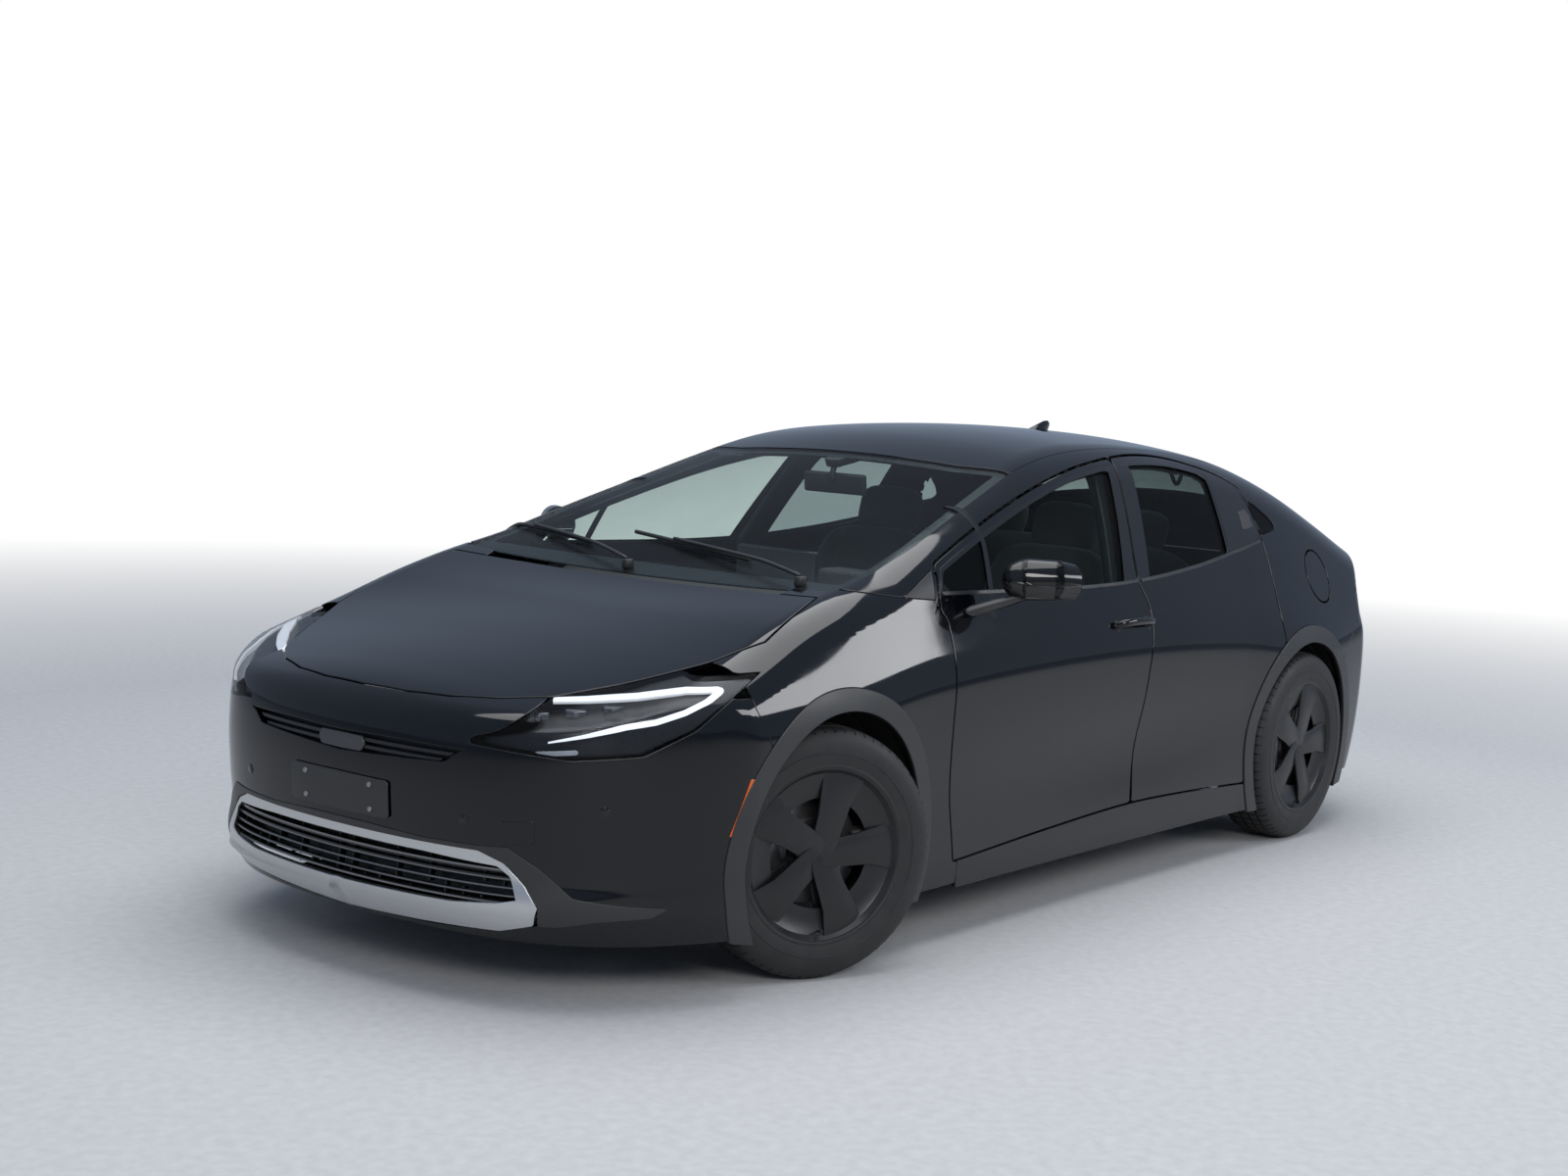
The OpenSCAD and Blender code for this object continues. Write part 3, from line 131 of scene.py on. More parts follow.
def rays(chart, uv):
    """Where the rays of a chart start, and their directions."""
    u, v = uv[:, 0], uv[:, 1]
    o, l = np.zeros_like(u), np.ones_like(u)
    if chart == "side":
        return np.stack([u, 200 * l, 600 * l], 1), np.stack([o, np.cos(v / 720), np.sin(v / 720)], 1)
    if chart == "top":
        return np.stack([u, v, 300 * l], 1), np.stack([o, o, l], 1)
    if chart == "nose":
        return np.stack([1450 * l, o, v], 1), np.stack([np.cos(u / 850), np.sin(u / 850), o], 1)
    if chart == "tail":
        return np.stack([-1450 * l, o, v], 1), np.stack([-np.cos(u / 830), np.sin(u / 830), o], 1)
    # over the hatch, from its front edge down to the tail
    return np.stack([-1300 * l, v, 700 * l], 1), np.stack([np.cos(u / 850), o, np.sin(u / 850)], 1)


def lift(chart, uv):
    """The points of the skin that a chart's rays meet."""
    start, along = rays(chart, uv)
    near, far = np.zeros(len(uv)), np.full(len(uv), 1400.0)
    for _ in range(24):
        middle = (near + far) / 2
        inside = beyond_skin(start + middle[:, None] * along) < 0
        near, far = np.where(inside, middle, near), np.where(inside, far, middle)
    return start + near[:, None] * along


def skin_normal(p, reach=1.0):
    """The outward direction of the painted skin at points on it."""
    n = np.stack([beyond_skin(p + reach * a) - beyond_skin(p - reach * a) for a in np.eye(3)], 1)
    return n / np.linalg.norm(n, axis=1)[:, None]


# ---- Outlines: signed distances, below zero inside -----------------------------------


def polygon_distance(points, outline):
    """Signed distance to a closed outline, negative inside."""
    a = np.array(outline, float)
    e = np.roll(a, -1, 0) - a
    w = points[:, None, :] - a[None]
    t = np.clip((w * e).sum(2) / np.maximum((e * e).sum(1), 1e-9), 0, 1)
    far = np.sqrt(((w - t[..., None] * e) ** 2).sum(2).min(1))
    below = a[None, :, 1] <= points[:, None, 1]
    crosses = below != np.roll(below, -1, 1)
    cut = a[:, 0] + w[..., 1] * e[:, 0] / np.where(e[:, 1] == 0, 1e-9, e[:, 1])
    inside = (crosses & (points[:, None, 0] < cut)).sum(1) % 2 == 1
    return np.where(inside, -far, far)


def seen_side(outline, grow=0.0):
    """A zone drawn as an outline in the side view."""
    return lambda p: polygon_distance(p[:, [0, 2]], outline) - grow


def seen_top(half, grow=0.0):
    """A zone drawn as a half outline in the top view."""
    def distance(p):
        return polygon_distance(np.stack([p[:, 0], np.abs(p[:, 1])], 1), closed_half(half)) - grow
    return distance


def seen_end(half, grow=0.0):
    """A zone drawn as a half outline in the end view."""
    outline = [(-y, z) for y, z in half[::-1]] + list(half)
    return lambda p: polygon_distance(p[:, [1, 2]], outline) - grow


def seen_corner(points, azimuth, grow=0.0):
    """A zone drawn on a plane turned towards a corner."""
    a = math.radians(azimuth)
    flat = [(-x * math.sin(a) + y * math.cos(a), z) for x, y, z in points]

    def distance(p):
        across = -p[:, 0] * math.sin(a) + np.abs(p[:, 1]) * math.cos(a)
        return polygon_distance(np.stack([across, p[:, 2]], 1), flat) - grow
    return distance


def closed_half(half):
    """A half outline, from the centre line out and back, with its mirror image."""
    return [(x, -y) for x, y in half[::-1]] + list(half)


def round_axle(radius, x, z=333.0):
    """A round zone in the side view."""
    return lambda p: np.hypot(p[:, 0] - x, p[:, 2] - z) - radius


def above(z):
    """All that is higher than a level."""
    return lambda p: z - p[:, 2]


def ahead(x):
    """All that is ahead of a station."""
    return lambda p: x - p[:, 0]


def within(*parts):
    """Where all the zones are."""
    return lambda p: np.max([f(p) for f in parts], 0)


def either(*parts):
    """Where any of the zones is."""
    return lambda p: np.min([f(p) for f in parts], 0)


def without(base, *cuts):
    """A zone less the others."""
    return lambda p: np.max([base(p)] + [-f(p) for f in cuts], 0)


def everywhere(p):
    return np.full(len(p), -1e3)


belt_line = Curve([(-1375, 1098), (-1340, 1081), (-1203, 1057), (-915, 1018), (-650, 988),
                   (-277, 962), (100, 957), (600, 967), (1011, 977)])
window_line = Curve([(-1378, 1108), (-1340, 1150), (-1234, 1213), (-1101, 1274), (-920, 1316),
                     (-743, 1340), (-560, 1346), (-393, 1338), (-230, 1322), (-63, 1298),
                     (202, 1241), (505, 1156), (776, 1067), (1011, 977)])
sill_line = Curve([(-973, 250), (-600, 265), (-208, 272), (300, 255), (796, 232), (960, 226)])
front_cut = Curve([(165, 797), (237, 800), (400, 822), (560, 838), (700, 838), (800, 832),
                   (906, 826), (931, 844), (1052, 812)])
middle_cut = Curve([(165, -212), (271, -222), (500, -246), (700, -262), (885, -292),
                    (976, -263), (1100, -302), (1332, -389), (1400, -412)])
rear_cut = Curve([(780, -1182), (950, -1202), (1095, -1208), (1235, -1188)])


def along(curve, a, b, n, shift=0.0):
    """Evenly spaced points along a line of the body."""
    return [(x, float(curve(x)) + shift) for x in np.linspace(a, b, n)]


def up(curve, heights, shift=0.0):
    return [(float(curve(z)) + shift, z) for z in heights]


GAP, SEAM = 5.0, 0.3
AXLE_FRONT, AXLE_REAR, AXLE_HEIGHT = 1350, -1400, 333
ARCH, ARCH_OUTER = 372, 432
rise = [400, 470, 550, 630, 700, 750, 800, 845, 885, 930, 955, 976, 1040, 1100, 1160, 1220, 1280, 1320]
rear_arch = [(AXLE_REAR + 437.5 * math.cos(math.radians(t)), 333 + 437.5 * math.sin(math.radians(t)))
             for t in np.linspace(-11, 62, 25)]
front_door = (along(sill_line, 790, -212, 24) + up(middle_cut, rise, 3)
              + along(window_line, -380, 800, 50)
              + up(front_cut, [1052, 1010, 970, 945, 931, 918, 906, 850, 800, 740, 700, 640, 560, 480, 400]))
rear_door = (along(sill_line, -226, -960, 20) + rear_arch
             + up(rear_cut, [800, 850, 900, 950, 1020, 1080, 1150])
             + along(window_line, -1180, -400, 34) + up(middle_cut, rise[::-1], -2))
front_window = (along(belt_line, 828, -180, 34, 8) + [(-325, 1300)]
                + along(window_line, -290, 790, 44, -26))
rear_window = (along(belt_line, -330, -925, 20, 8) + [(-968, 1270)]
               + along(window_line, -930, -450, 20, -26))
quarter_bar = [(607, 900), (585, 900), (512, 1200), (534, 1200)]
quarter_window = [(-1224, 1080), (-1208, 1196), (-1250, 1180), (-1320, 1138), (-1352, 1108), (-1330, 1094)]
sail = [(862, 962), (1000, 974), (835, 1042)]
hood_half = [(1250, 0), (1252, 400), (1262, 690), (1400, 718), (1543, 745), (1700, 700), (1900, 600),
             (2055, 503), (2130, 400), (2180, 280), (2205, 150), (2212, 0)]
screen_half = [(1215, 0), (1212, 400), (1205, 700), (1013, 696), (815, 683), (522, 638), (195, 590),
               (245, 426), (258, 230), (262, 0)]
roof_half = [(261, 0), (257, 230), (244, 426), (194, 590), (-40, 568), (-400, 545), (-743, 534),
             (-1004, 545), (-1008, 300), (-1010, 0)]
hatch_half = [(-1015, 0), (-1013, 300), (-1009, 545), (-1400, 575), (-1800, 620), (-2120, 670),
              (-2500, 670), (-2500, 0)]
hatch_window_half = [(-1090, 0), (-1088, 440), (-1400, 462), (-1760, 490), (-1840, 478),
                     (-1865, 300), (-1870, 0)]
hatch_end_half = [(0, 700), (430, 706), (520, 730), (566, 800), (640, 880), (672, 960), (720, 1500),
                  (0, 1500)]
grille_outer_half = [(0, 404), (300, 396), (480, 382), (540, 345), (588, 268), (572, 214),
                     (480, 190), (300, 178), (0, 172)]
slot_half = [(0, 626), (200, 630), (390, 626), (345, 592), (0, 576)]
lamp_points = [(2232, 410, 645), (2232, 410, 661), (2208, 473, 679), (2060, 504, 753),
               (1999, 447, 790), (1772, 620, 835), (1779, 713, 814), (1632, 809, 821),
               (1778, 831, 761), (1873, 812, 695), (1990, 752, 637), (2124, 638, 624)]
tail_points = [(-2060, 600, 935), (-1960, 740, 905), (-1905, 800, 860), (-1960, 780, 838),
               (-2100, 640, 866), (-2130, 570, 872), (-2130, 570, 930)]
fender_outline = [(770, 165), (770, 914), (862, 914), (862, 962), (1000, 974), (1240, 1004),
                  (1240, 1200), (1700, 1200), (1700, 742), (1650, 640), (1350, 333), (955, 165)]
bumper_seam = [(1200, 638), (1649, 638), (1700, 742), (1700, 1000), (1200, 1000)]
quarter_lower = [(-1650, 500), (-1730, 640), (-1905, 800), (-1985, 838), (-2400, 838), (-2400, 100),
                 (-1650, 100)]
bar_half = [(0, 930), (566, 928), (566, 874), (0, 880)]
port_place = (-1590, 925)


def headlamp(grow=0.0):
    """The outline of both headlamps."""
    return within(seen_corner(lamp_points, 40, grow), ahead(1000))


def tail_lamp(grow=0.0):
    """The outline of both rear lamps."""
    return within(seen_corner(tail_points, 140, grow), lambda p: p[:, 0] + 1000)


def arches(radius):
    """The four wheel openings."""
    return either(round_axle(radius, AXLE_FRONT), round_axle(radius, AXLE_REAR))


def hood_zone(grow=0.0):
    """The hood with its gap."""
    return within(seen_top(hood_half, grow), above(600))


def hatch_zone(grow=0.0):
    """The hatch with its corners."""
    low = within(seen_end(hatch_end_half, grow), lambda p: p[:, 0] + 1950)
    return within(seen_top(hatch_half, grow), either(low, above(880)))


def low_at_back(p):
    """Trims the parts of an outline from behind that lie further forward."""
    return p[:, 0] + 1900


def door_depth(p):
    """How thick a door is at each point."""
    t = np.clip((p[:, 2] - belt_line(p[:, 0]) + 30) / 30, 0, 1)
    frame_wall = np.where(p[:, 0] < -850, 24.0, 30.0)
    return 62 + (frame_wall - 62) * t


def hood_depth(p):
    """The hood's edge gets thinner where it lies over the nose."""
    return 34 - 25 * np.clip((p[:, 0] - 1800) / 250, 0, 1)


def roof_depth(p):
    """The roof ends in a thin gutter lip that the hatch's edge turns into."""
    return np.where(p[:, 0] < -976, 3.5, 30.0)


# ---- Panels ---------------------------------------------------------------------------


def trim_net(bm, chart, keep, step):
    """Cuts a flat net along the line where keep turns positive, and drops what is beyond."""
    bm.verts.ensure_lookup_table()
    at = np.array([v.co[:2] for v in bm.verts])
    value = keep(lift(chart, at))
    near = np.nonzero(np.abs(value) < 0.6 * step)[0]
    if len(near):
        p, f = at[near].copy(), value[near]
        for _ in range(3):
            g = np.stack([keep(lift(chart, p + np.array([0.4, 0]))) - f,
                          keep(lift(chart, p + np.array([0, 0.4]))) - f], 1) / 0.4
            p = p - (f / ((g * g).sum(1) + 1e-6))[:, None] * g
            p = np.clip(p, at[near] - 0.6 * step, at[near] + 0.6 * step)
            f = keep(lift(chart, p))
        good = (np.linalg.norm(p - at[near], axis=1) < 0.42 * step) & (np.abs(f) < 0.05)
        at[near[good]] = p[good]
        value[near[good]] = 0
    for v, (x, y) in zip(bm.verts, at):
        v.co = (x, y, 0)
    line = {bm.verts[i] for i in np.nonzero(value == 0)[0]}
    edges = [e for e in bm.edges if value[e.verts[0].index] * value[e.verts[1].index] < 0]
    if edges:
        a = at[[e.verts[0].index for e in edges]]
        b = at[[e.verts[1].index for e in edges]]
        fa = value[[e.verts[0].index for e in edges]]
        lo, hi = np.zeros(len(edges)), np.ones(len(edges))
        for _ in range(10):
            m = (lo + hi) / 2
            same = keep(lift(chart, a + m[:, None] * (b - a))) * fa > 0
            lo, hi = np.where(same, m, lo), np.where(same, hi, m)
        at_line = a + ((lo + hi) / 2)[:, None] * (b - a)
        for e, (x, y) in zip(edges, at_line):
            v = bmesh.utils.edge_split(e, e.verts[0], 0.5)[1]
            v.co = (x, y, 0)
            line.add(v)
    bmesh.ops.connect_verts(bm, verts=list(line), check_degenerate=False)
    middles = np.array([f.calc_center_median()[:2] for f in bm.faces])
    beyond = keep(lift(chart, middles)) > 0
    bmesh.ops.delete(bm, geom=[f for f, out in zip(bm.faces, beyond) if out], context="FACES")


def lay_on_skin(bm, chart, raised=0.0):
    """Lifts a flat net onto the skin, faces outwards, and remembers the skin's normals."""
    shade = bm.verts.layers.float_vector.new("shade")
    bm.verts.ensure_lookup_table()
    p = lift(chart, np.array([v.co[:2] for v in bm.verts]))
    n = skin_normal(p)
    p = p + n * np.reshape(raised(p) if callable(raised) else raised, (-1, 1))
    for v, q, m in zip(bm.verts, p, n):
        v.co = q
        v[shade] = m
    bm.normal_update()
    turned = sum(f.normal.dot(f.verts[0][shade]) * f.calc_area() for f in bm.faces) < 0
    if turned:
        bmesh.ops.reverse_faces(bm, faces=bm.faces)
    return shade


def thicken(bm, shade, depth, roll):
    """Gives a laid net its wall: a rolled edge, straight sides, and a face behind."""
    front = list(bm.faces)
    edges = [e for e in bm.edges if len(e.link_faces) == 1]
    ring = {v for e in edges for v in e.verts}
    out = {v: Vector() for v in ring}
    for e in edges:
        n = (e.verts[0][shade] + e.verts[1][shade]) / 2
        o = (e.verts[1].co - e.verts[0].co).cross(n).normalized()
        if o.dot(e.link_faces[0].calc_center_median() - (e.verts[0].co + e.verts[1].co) / 2) > 0:
            o = -o
        for v in e.verts:
            out[v] += o
    for v in out:
        length = out[v].length
        out[v] = out[v] / max(length, 0.2) * min(2 / max(length, 0.2), 1.5)
    positions = np.array([v.co for v in bm.verts])
    deep = depth(positions) if callable(depth) else np.full(len(positions), float(depth))
    bm.verts.index_update()
    deep_of = {v: deep[v.index] for v in bm.verts}
    copy = bmesh.ops.duplicate(bm, geom=front + list({v for f in front for v in f.verts})
                               + list({e for f in front for e in f.edges}))
    back = {a: b for a, b in copy["vert_map"].items() if a in deep_of}
    for a, b in back.items():
        b.co = a.co - a[shade] * deep_of[a]
        b[shade] = -a[shade]
    bmesh.ops.reverse_faces(bm, faces=[f for f in copy["geom"] if isinstance(f, bmesh.types.BMFace)])
    base = {v: (v.co.copy(), v[shade].copy(), out[v], deep_of[v]) for v in ring}
    trace = {v: v for v in ring}
    levels = [(math.radians(a), None) for a in (30, 60, 90)] if roll else [(math.radians(90), None)]
    levels.append((math.radians(90), 1.0))
    loop = edges
    for angle, low in levels:
        grown = bmesh.ops.extrude_edge_only(bm, edges=loop)["geom"]
        new = {g for g in grown if isinstance(g, bmesh.types.BMVert)}
        loop = [g for g in grown if isinstance(g, bmesh.types.BMEdge)
                                               and g.verts[0] in new and g.verts[1] in new]
        step = {}
        for v in new:
            below = next(e.other_vert(v) for e in v.link_edges if e.other_vert(v) in trace)
            step[v] = trace[below]
        for v, root in step.items():
            co, n, o, d = base[root]
            sink = roll * (1 - math.cos(angle)) if low is None else d
            spread = roll * math.sin(angle)
            v.co = co + o * spread - n * sink
            v[shade] = (n * math.cos(angle) + o * math.sin(angle)).normalized()
        trace = step
    bmesh.ops.weld_verts(bm, targetmap={v: back[root] for v, root in trace.items()})
    bmesh.ops.recalc_face_normals(bm, faces=bm.faces)


def mirrored(bm, shade):
    """Adds the right-hand copy of a left-hand piece."""
    copy = bmesh.ops.duplicate(bm, geom=bm.verts[:] + bm.edges[:] + bm.faces[:])["geom"]
    for v in copy:
        if isinstance(v, bmesh.types.BMVert):
            v.co.y *= -1
            v[shade] = (v[shade].x, -v[shade].y, v[shade].z)
    bmesh.ops.reverse_faces(bm, faces=[f for f in copy if isinstance(f, bmesh.types.BMFace)])


def net(u0, u1, v0, v1, step):
    """A flat net over a span of a chart."""
    bm = bmesh.new()
    nu, nv = max(2, round(abs(u1 - u0) / step)), max(2, round(abs(v1 - v0) / step))
    bmesh.ops.create_grid(bm, x_segments=nu, y_segments=nv, size=0.5)
    bmesh.ops.transform(bm, verts=bm.verts, matrix=Matrix.Translation(((u0 + u1) / 2, (v0 + v1) / 2, 0))
                        @ Matrix.Diagonal((u1 - u0, v1 - v0, 1, 1)))
    return bm


def finished(name, bm, body, material, replaces=(), shade=None):
    """Makes the object, in metres at the origin, hangs it on its body's empty, and hides the solids it
    replaces.
    """
    bmesh.ops.scale(bm, vec=(MM, MM, MM), verts=bm.verts)
    mesh = bpy.data.meshes.new(name)
    bm.to_mesh(mesh)
    bm.free()
    for f in mesh.polygons:
        f.use_smooth = True
    if shade:
        normals = np.zeros(len(mesh.vertices) * 3)
        mesh.attributes["shade"].data.foreach_get("vector", normals)
        mesh.normals_split_custom_set_from_vertices(normals.reshape(-1, 3).tolist())
        mesh.attributes.remove(mesh.attributes["shade"])
    piece = bpy.data.objects.new(name, mesh)
    bpy.context.scene.collection.objects.link(piece)
    piece.data.materials.append(material)
    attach(piece, body)
    if replaces:
        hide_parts(*replaces)
    return piece


def panel(name, chart, span, step, keep, depth, body, material, replaces=(), roll=2.0,
          raised=0.0, sides="both"):
    """A stretch of the skin. A side panel is drawn on the left; sides says where it goes."""
    bm = net(*span, step)
    trim_net(bm, chart, lambda p: keep(p) + roll, step)
    shade = lay_on_skin(bm, chart, raised)
    thicken(bm, shade, depth, roll)
    if sides == "both":
        mirrored(bm, shade)
    if sides == "right":
        for v in bm.verts:
            v.co.y *= -1
            v[shade] = (v[shade].x, -v[shade].y, v[shade].z)
        bmesh.ops.reverse_faces(bm, faces=bm.faces)
    return finished(name, bm, body, material, replaces, "shade")


def degrees_side(a):
    return math.radians(a) * 720


# ---- Materials --------------------------------------------------------------------


class Number:
    """A socket that sums can be written with."""

    def __init__(self, finish, socket):
        self.finish, self.socket = finish, socket

    def sum(self, operation, a, b=0.0):
        return self.finish.node("ShaderNodeMath", {"operation": operation}, {0: a, 1: b})

    def __add__(self, other):
        return self.sum("ADD", self, other)

    def __radd__(self, other):
        return self.sum("ADD", other, self)

    def __sub__(self, other):
        return self.sum("SUBTRACT", self, other)

    def __mul__(self, other):
        return self.sum("MULTIPLY", self, other)

    def __rmul__(self, other):
        return self.sum("MULTIPLY", other, self)


class Finish:
    """One material and its nodes."""

    def __init__(self, name, **sockets):
        self.material = bpy.data.materials.new(name)
        self.material.use_nodes = True
        self.nodes, self.links = self.material.node_tree.nodes, self.material.node_tree.links
        self.shader = self.nodes["Principled BSDF"]
        self.output = self.nodes["Material Output"]
        for socket, value in sockets.items():
            self.put(socket.replace("_", " "), value)

    def node(self, kind, settings=None, sockets=None, out=0):
        n = self.nodes.new(kind)
        for key, value in (settings or {}).items():
            setattr(n, key, value)
        for key, value in (sockets or {}).items():
            self.feed(n.inputs[key], value)
        return Number(self, n.outputs[out])

    def feed(self, socket, value):
        if isinstance(value, Number):
            self.links.new(value.socket, socket)
        else:
            socket.default_value = value

    def put(self, socket, value):
        if isinstance(value, tuple) and len(value) == 3:
            value = (*value, 1)
        self.feed(self.shader.inputs[socket], value)

    def place(self, scale=(1, 1, 1)):
        """Object coordinates in metres, stretched."""
        spot = self.node("ShaderNodeTexCoord", out="Object")
        return self.node("ShaderNodeMapping", None, {"Vector": spot, "Scale": scale})

    def noise(self, scale, detail=2.0, rough=0.5, stretch=(1, 1, 1)):
        return self.node("ShaderNodeTexNoise", None, {
            "Vector": self.place(stretch), "Scale": scale, "Detail": detail, "Roughness": rough}, "Fac")

    def cells(self, scale, out="Distance", stretch=(1, 1, 1)):
        return self.node("ShaderNodeTexVoronoi", None, {"Vector": self.place(stretch), "Scale": scale}, out)

    def blend(self, factor, a, b):
        four = [(*c, 1) if isinstance(c, tuple) and len(c) == 3 else c for c in (a, b)]
        return self.node("ShaderNodeMix", {"data_type": "RGBA"}, {0: factor, 6: four[0], 7: four[1]}, 2)

    def clamp(self, value, a, b, c=0.0, d=1.0):
        return self.node("ShaderNodeMapRange", None, {0: value, 1: a, 2: b, 3: c, 4: d})

    def bump(self, height, strength, distance=0.001):
        self.put("Normal", self.node("ShaderNodeBump", None, {
            "Strength": strength, "Distance": distance, "Height": height}))


def painted():
    """Near-black gloss paint with fine flakes."""
    f = Finish("paint", IOR=1.47)
    flakes = f.clamp(f.cells(2600, "Color"), 0.35, 0.95)
    cloud = f.noise(3.0, 3)
    f.put("Base Color", f.blend(f.clamp(flakes * cloud, 0.2, 0.8),
          (0.0010, 0.0013, 0.0022), (0.0045, 0.0060, 0.0105)))
    f.put("Roughness", f.clamp(f.noise(9, 4), 0.3, 0.75, 0.03, 0.075))
    return f.material


def grained(name, colour, rough, grain=900, depth=0.25, worn=(1.25, 1.25, 1.25)):
    """Moulded plastic with a fine leather-like grain and slightly paler high spots."""
    f = Finish(name, Roughness=rough, IOR=1.5)
    pores = f.cells(grain)
    cloud = f.noise(6, 4)
    f.put("Base Color", f.blend(f.clamp(cloud, 0.3, 0.75), colour,
                                tuple(c * w for c, w in zip(colour, worn))))
    f.put("Roughness", f.clamp(cloud, 0.3, 0.75, rough - 0.06, rough + 0.08))
    f.bump(pores, depth, 0.0004)
    return f.material


def glossy(name, colour, rough=0.08, metallic=0.0):
    """Smooth plastic or bright metal."""
    f = Finish(name, Metallic=metallic, IOR=1.5)
    cloud = f.noise(14, 4)
    f.put("Base Color", f.blend(f.clamp(cloud, 0.3, 0.7), colour, tuple(min(1, c * 1.12) for c in colour)))
    f.put("Roughness", f.clamp(cloud, 0.25, 0.8, rough * 0.75, rough * 1.5))
    return f.material


def brushed(name, colour, rough=0.32, stretch=(1, 40, 40)):
    """Metal with fine lines one way."""
    f = Finish(name, Metallic=1.0)
    lines = f.noise(60, 5, 0.6, stretch)
    f.put("Base Color", f.blend(f.clamp(lines, 0.3, 0.7), tuple(c * 0.88 for c in colour), colour))
    f.put("Roughness", f.clamp(lines, 0.25, 0.75, rough * 0.8, rough * 1.25))
    f.bump(lines, 0.08, 0.0002)
    return f.material


def window(name, tint, mirror=(0.03, 0.03, 0.032), base=0.03):
    """Thin glass: a tinted view through it under a clear reflection."""
    f = Finish(name, Base_Color=mirror, Roughness=0.01, IOR=1.5)
    clear = f.nodes.new("ShaderNodeBsdfTransparent")
    clear.inputs["Color"].default_value = (*tint, 1)
    facing = f.node("ShaderNodeLayerWeight", None, {"Blend": 0.5}, "Facing")
    facing = facing.sum("POWER", facing, 4.0)
    dust = f.noise(7, 5)
    mixed = f.nodes.new("ShaderNodeMixShader")
    f.feed(mixed.inputs[0], base + facing * 0.7 + f.clamp(dust, 0.5, 0.9, 0, 0.03))
    f.links.new(clear.outputs[0], mixed.inputs[1])
    f.links.new(f.shader.outputs[0], mixed.inputs[2])
    f.links.new(mixed.outputs[0], f.output.inputs["Surface"])
    return f.material


def tyre_rubber():
    """Dusty black rubber."""
    f = Finish("tyre_rubber", IOR=1.5)
    dust = f.noise(18, 5)
    f.put("Base Color", f.blend(f.clamp(dust, 0.4, 0.8), (0.010, 0.010, 0.0105), (0.022, 0.021, 0.02)))
    f.put("Roughness", f.clamp(dust, 0.3, 0.8, 0.5, 0.72))
    f.bump(f.noise(800, 3), 0.15, 0.0004)
    return f.material


def cloth(name, dark, pale, scale=520):
    """Woven seat cloth: two sets of threads crossing, with a little wear."""
    f = Finish(name, Roughness=0.85, Sheen_Weight=0.25)
    threads, across = [f.node("ShaderNodeTexWave", {"bands_direction": way}, {
        "Vector": f.place(), "Scale": scale, "Distortion": 0.4}, "Fac") for way in "ZY"]
    weave = threads * across
    f.put("Base Color", f.blend(f.clamp(weave + f.noise(9, 4) * 0.5, 0.2, 1.1), dark, pale))
    f.bump(weave, 0.35, 0.0008)
    return f.material


def lamp_glow(name, colour, strength):
    """A lit lamp with ribs."""
    f = Finish(name, Base_Color=colour, Roughness=0.25)
    f.shader.inputs["Emission Strength"].default_value = strength
    ribs = f.node("ShaderNodeTexWave", {"bands_direction": "Y"}, {"Vector": f.place(), "Scale": 90.0}, "Fac")
    f.put("Emission Color", f.blend(ribs, tuple(c * 0.8 for c in colour), colour))
    return f.material


paint = painted()
satin = grained("satin_trim", (0.019, 0.0192, 0.0198), 0.42, 1100, 0.18)
seal_rubber = grained("seal_rubber", (0.006, 0.006, 0.0065), 0.5, 1500, 0.1)
piano = glossy("gloss_black", (0.004, 0.004, 0.0045), 0.06)
silver = brushed("silver_surround", (0.62, 0.63, 0.64), 0.3)
cover_black = grained("cover_black", (0.0075, 0.0076, 0.008), 0.36, 1400, 0.06)
rim_dark = glossy("rim_dark", (0.02, 0.02, 0.021), 0.3, 0.4)
steel = brushed("disc_steel", (0.36, 0.36, 0.37), 0.36, (30, 1, 30))
cast = grained("cast_metal", (0.11, 0.11, 0.112), 0.55, 700, 0.3)
coated = grained("coated_steel", (0.018, 0.018, 0.019), 0.5, 600, 0.2)
case_metal = brushed("case_metal", (0.32, 0.33, 0.34), 0.45, (1, 1, 20))
pipe_metal = brushed("pipe_metal", (0.3, 0.28, 0.26), 0.4, (1, 30, 30))
tank_plastic = grained("tank_plastic", (0.012, 0.012, 0.012), 0.5, 500, 0.2)
screen_glass = window("screen_glass", (0.90, 0.945, 0.94))
side_glass = window("side_glass", (0.84, 0.90, 0.88))
privacy_glass = window("privacy_glass", (0.60, 0.66, 0.66), base=0.05)
lens_glass = window("lens_glass", (0.95, 0.96, 0.97), base=0.03)
red_glass = window("red_glass", (0.42, 0.012, 0.012), (0.1, 0.002, 0.002), 0.12)
rubber = tyre_rubber()
cabin = grained("cabin_plastic", (0.030, 0.030, 0.031), 0.55, 800, 0.25)
cabin_pale = grained("headliner", (0.20, 0.20, 0.195), 0.85, 1600, 0.3)
seat_cloth = cloth("seat_cloth", (0.022, 0.022, 0.023), (0.065, 0.066, 0.07))
carpet = cloth("carpet", (0.008, 0.008, 0.008), (0.02, 0.02, 0.021), 260)
hide = grained("grip_leather", (0.012, 0.012, 0.0125), 0.42, 650, 0.35)
running_lamp = lamp_glow("running_lamp", (0.86, 0.89, 0.93), 0.7)
lamp_body = grained("lamp_body", (0.009, 0.0095, 0.011), 0.3, 1200, 0.1)
marker_amber = glossy("marker_amber", (0.62, 0.11, 0.012), 0.12)
mirror_silver = glossy("mirror_silver", (0.75, 0.77, 0.78), 0.02, 1.0)

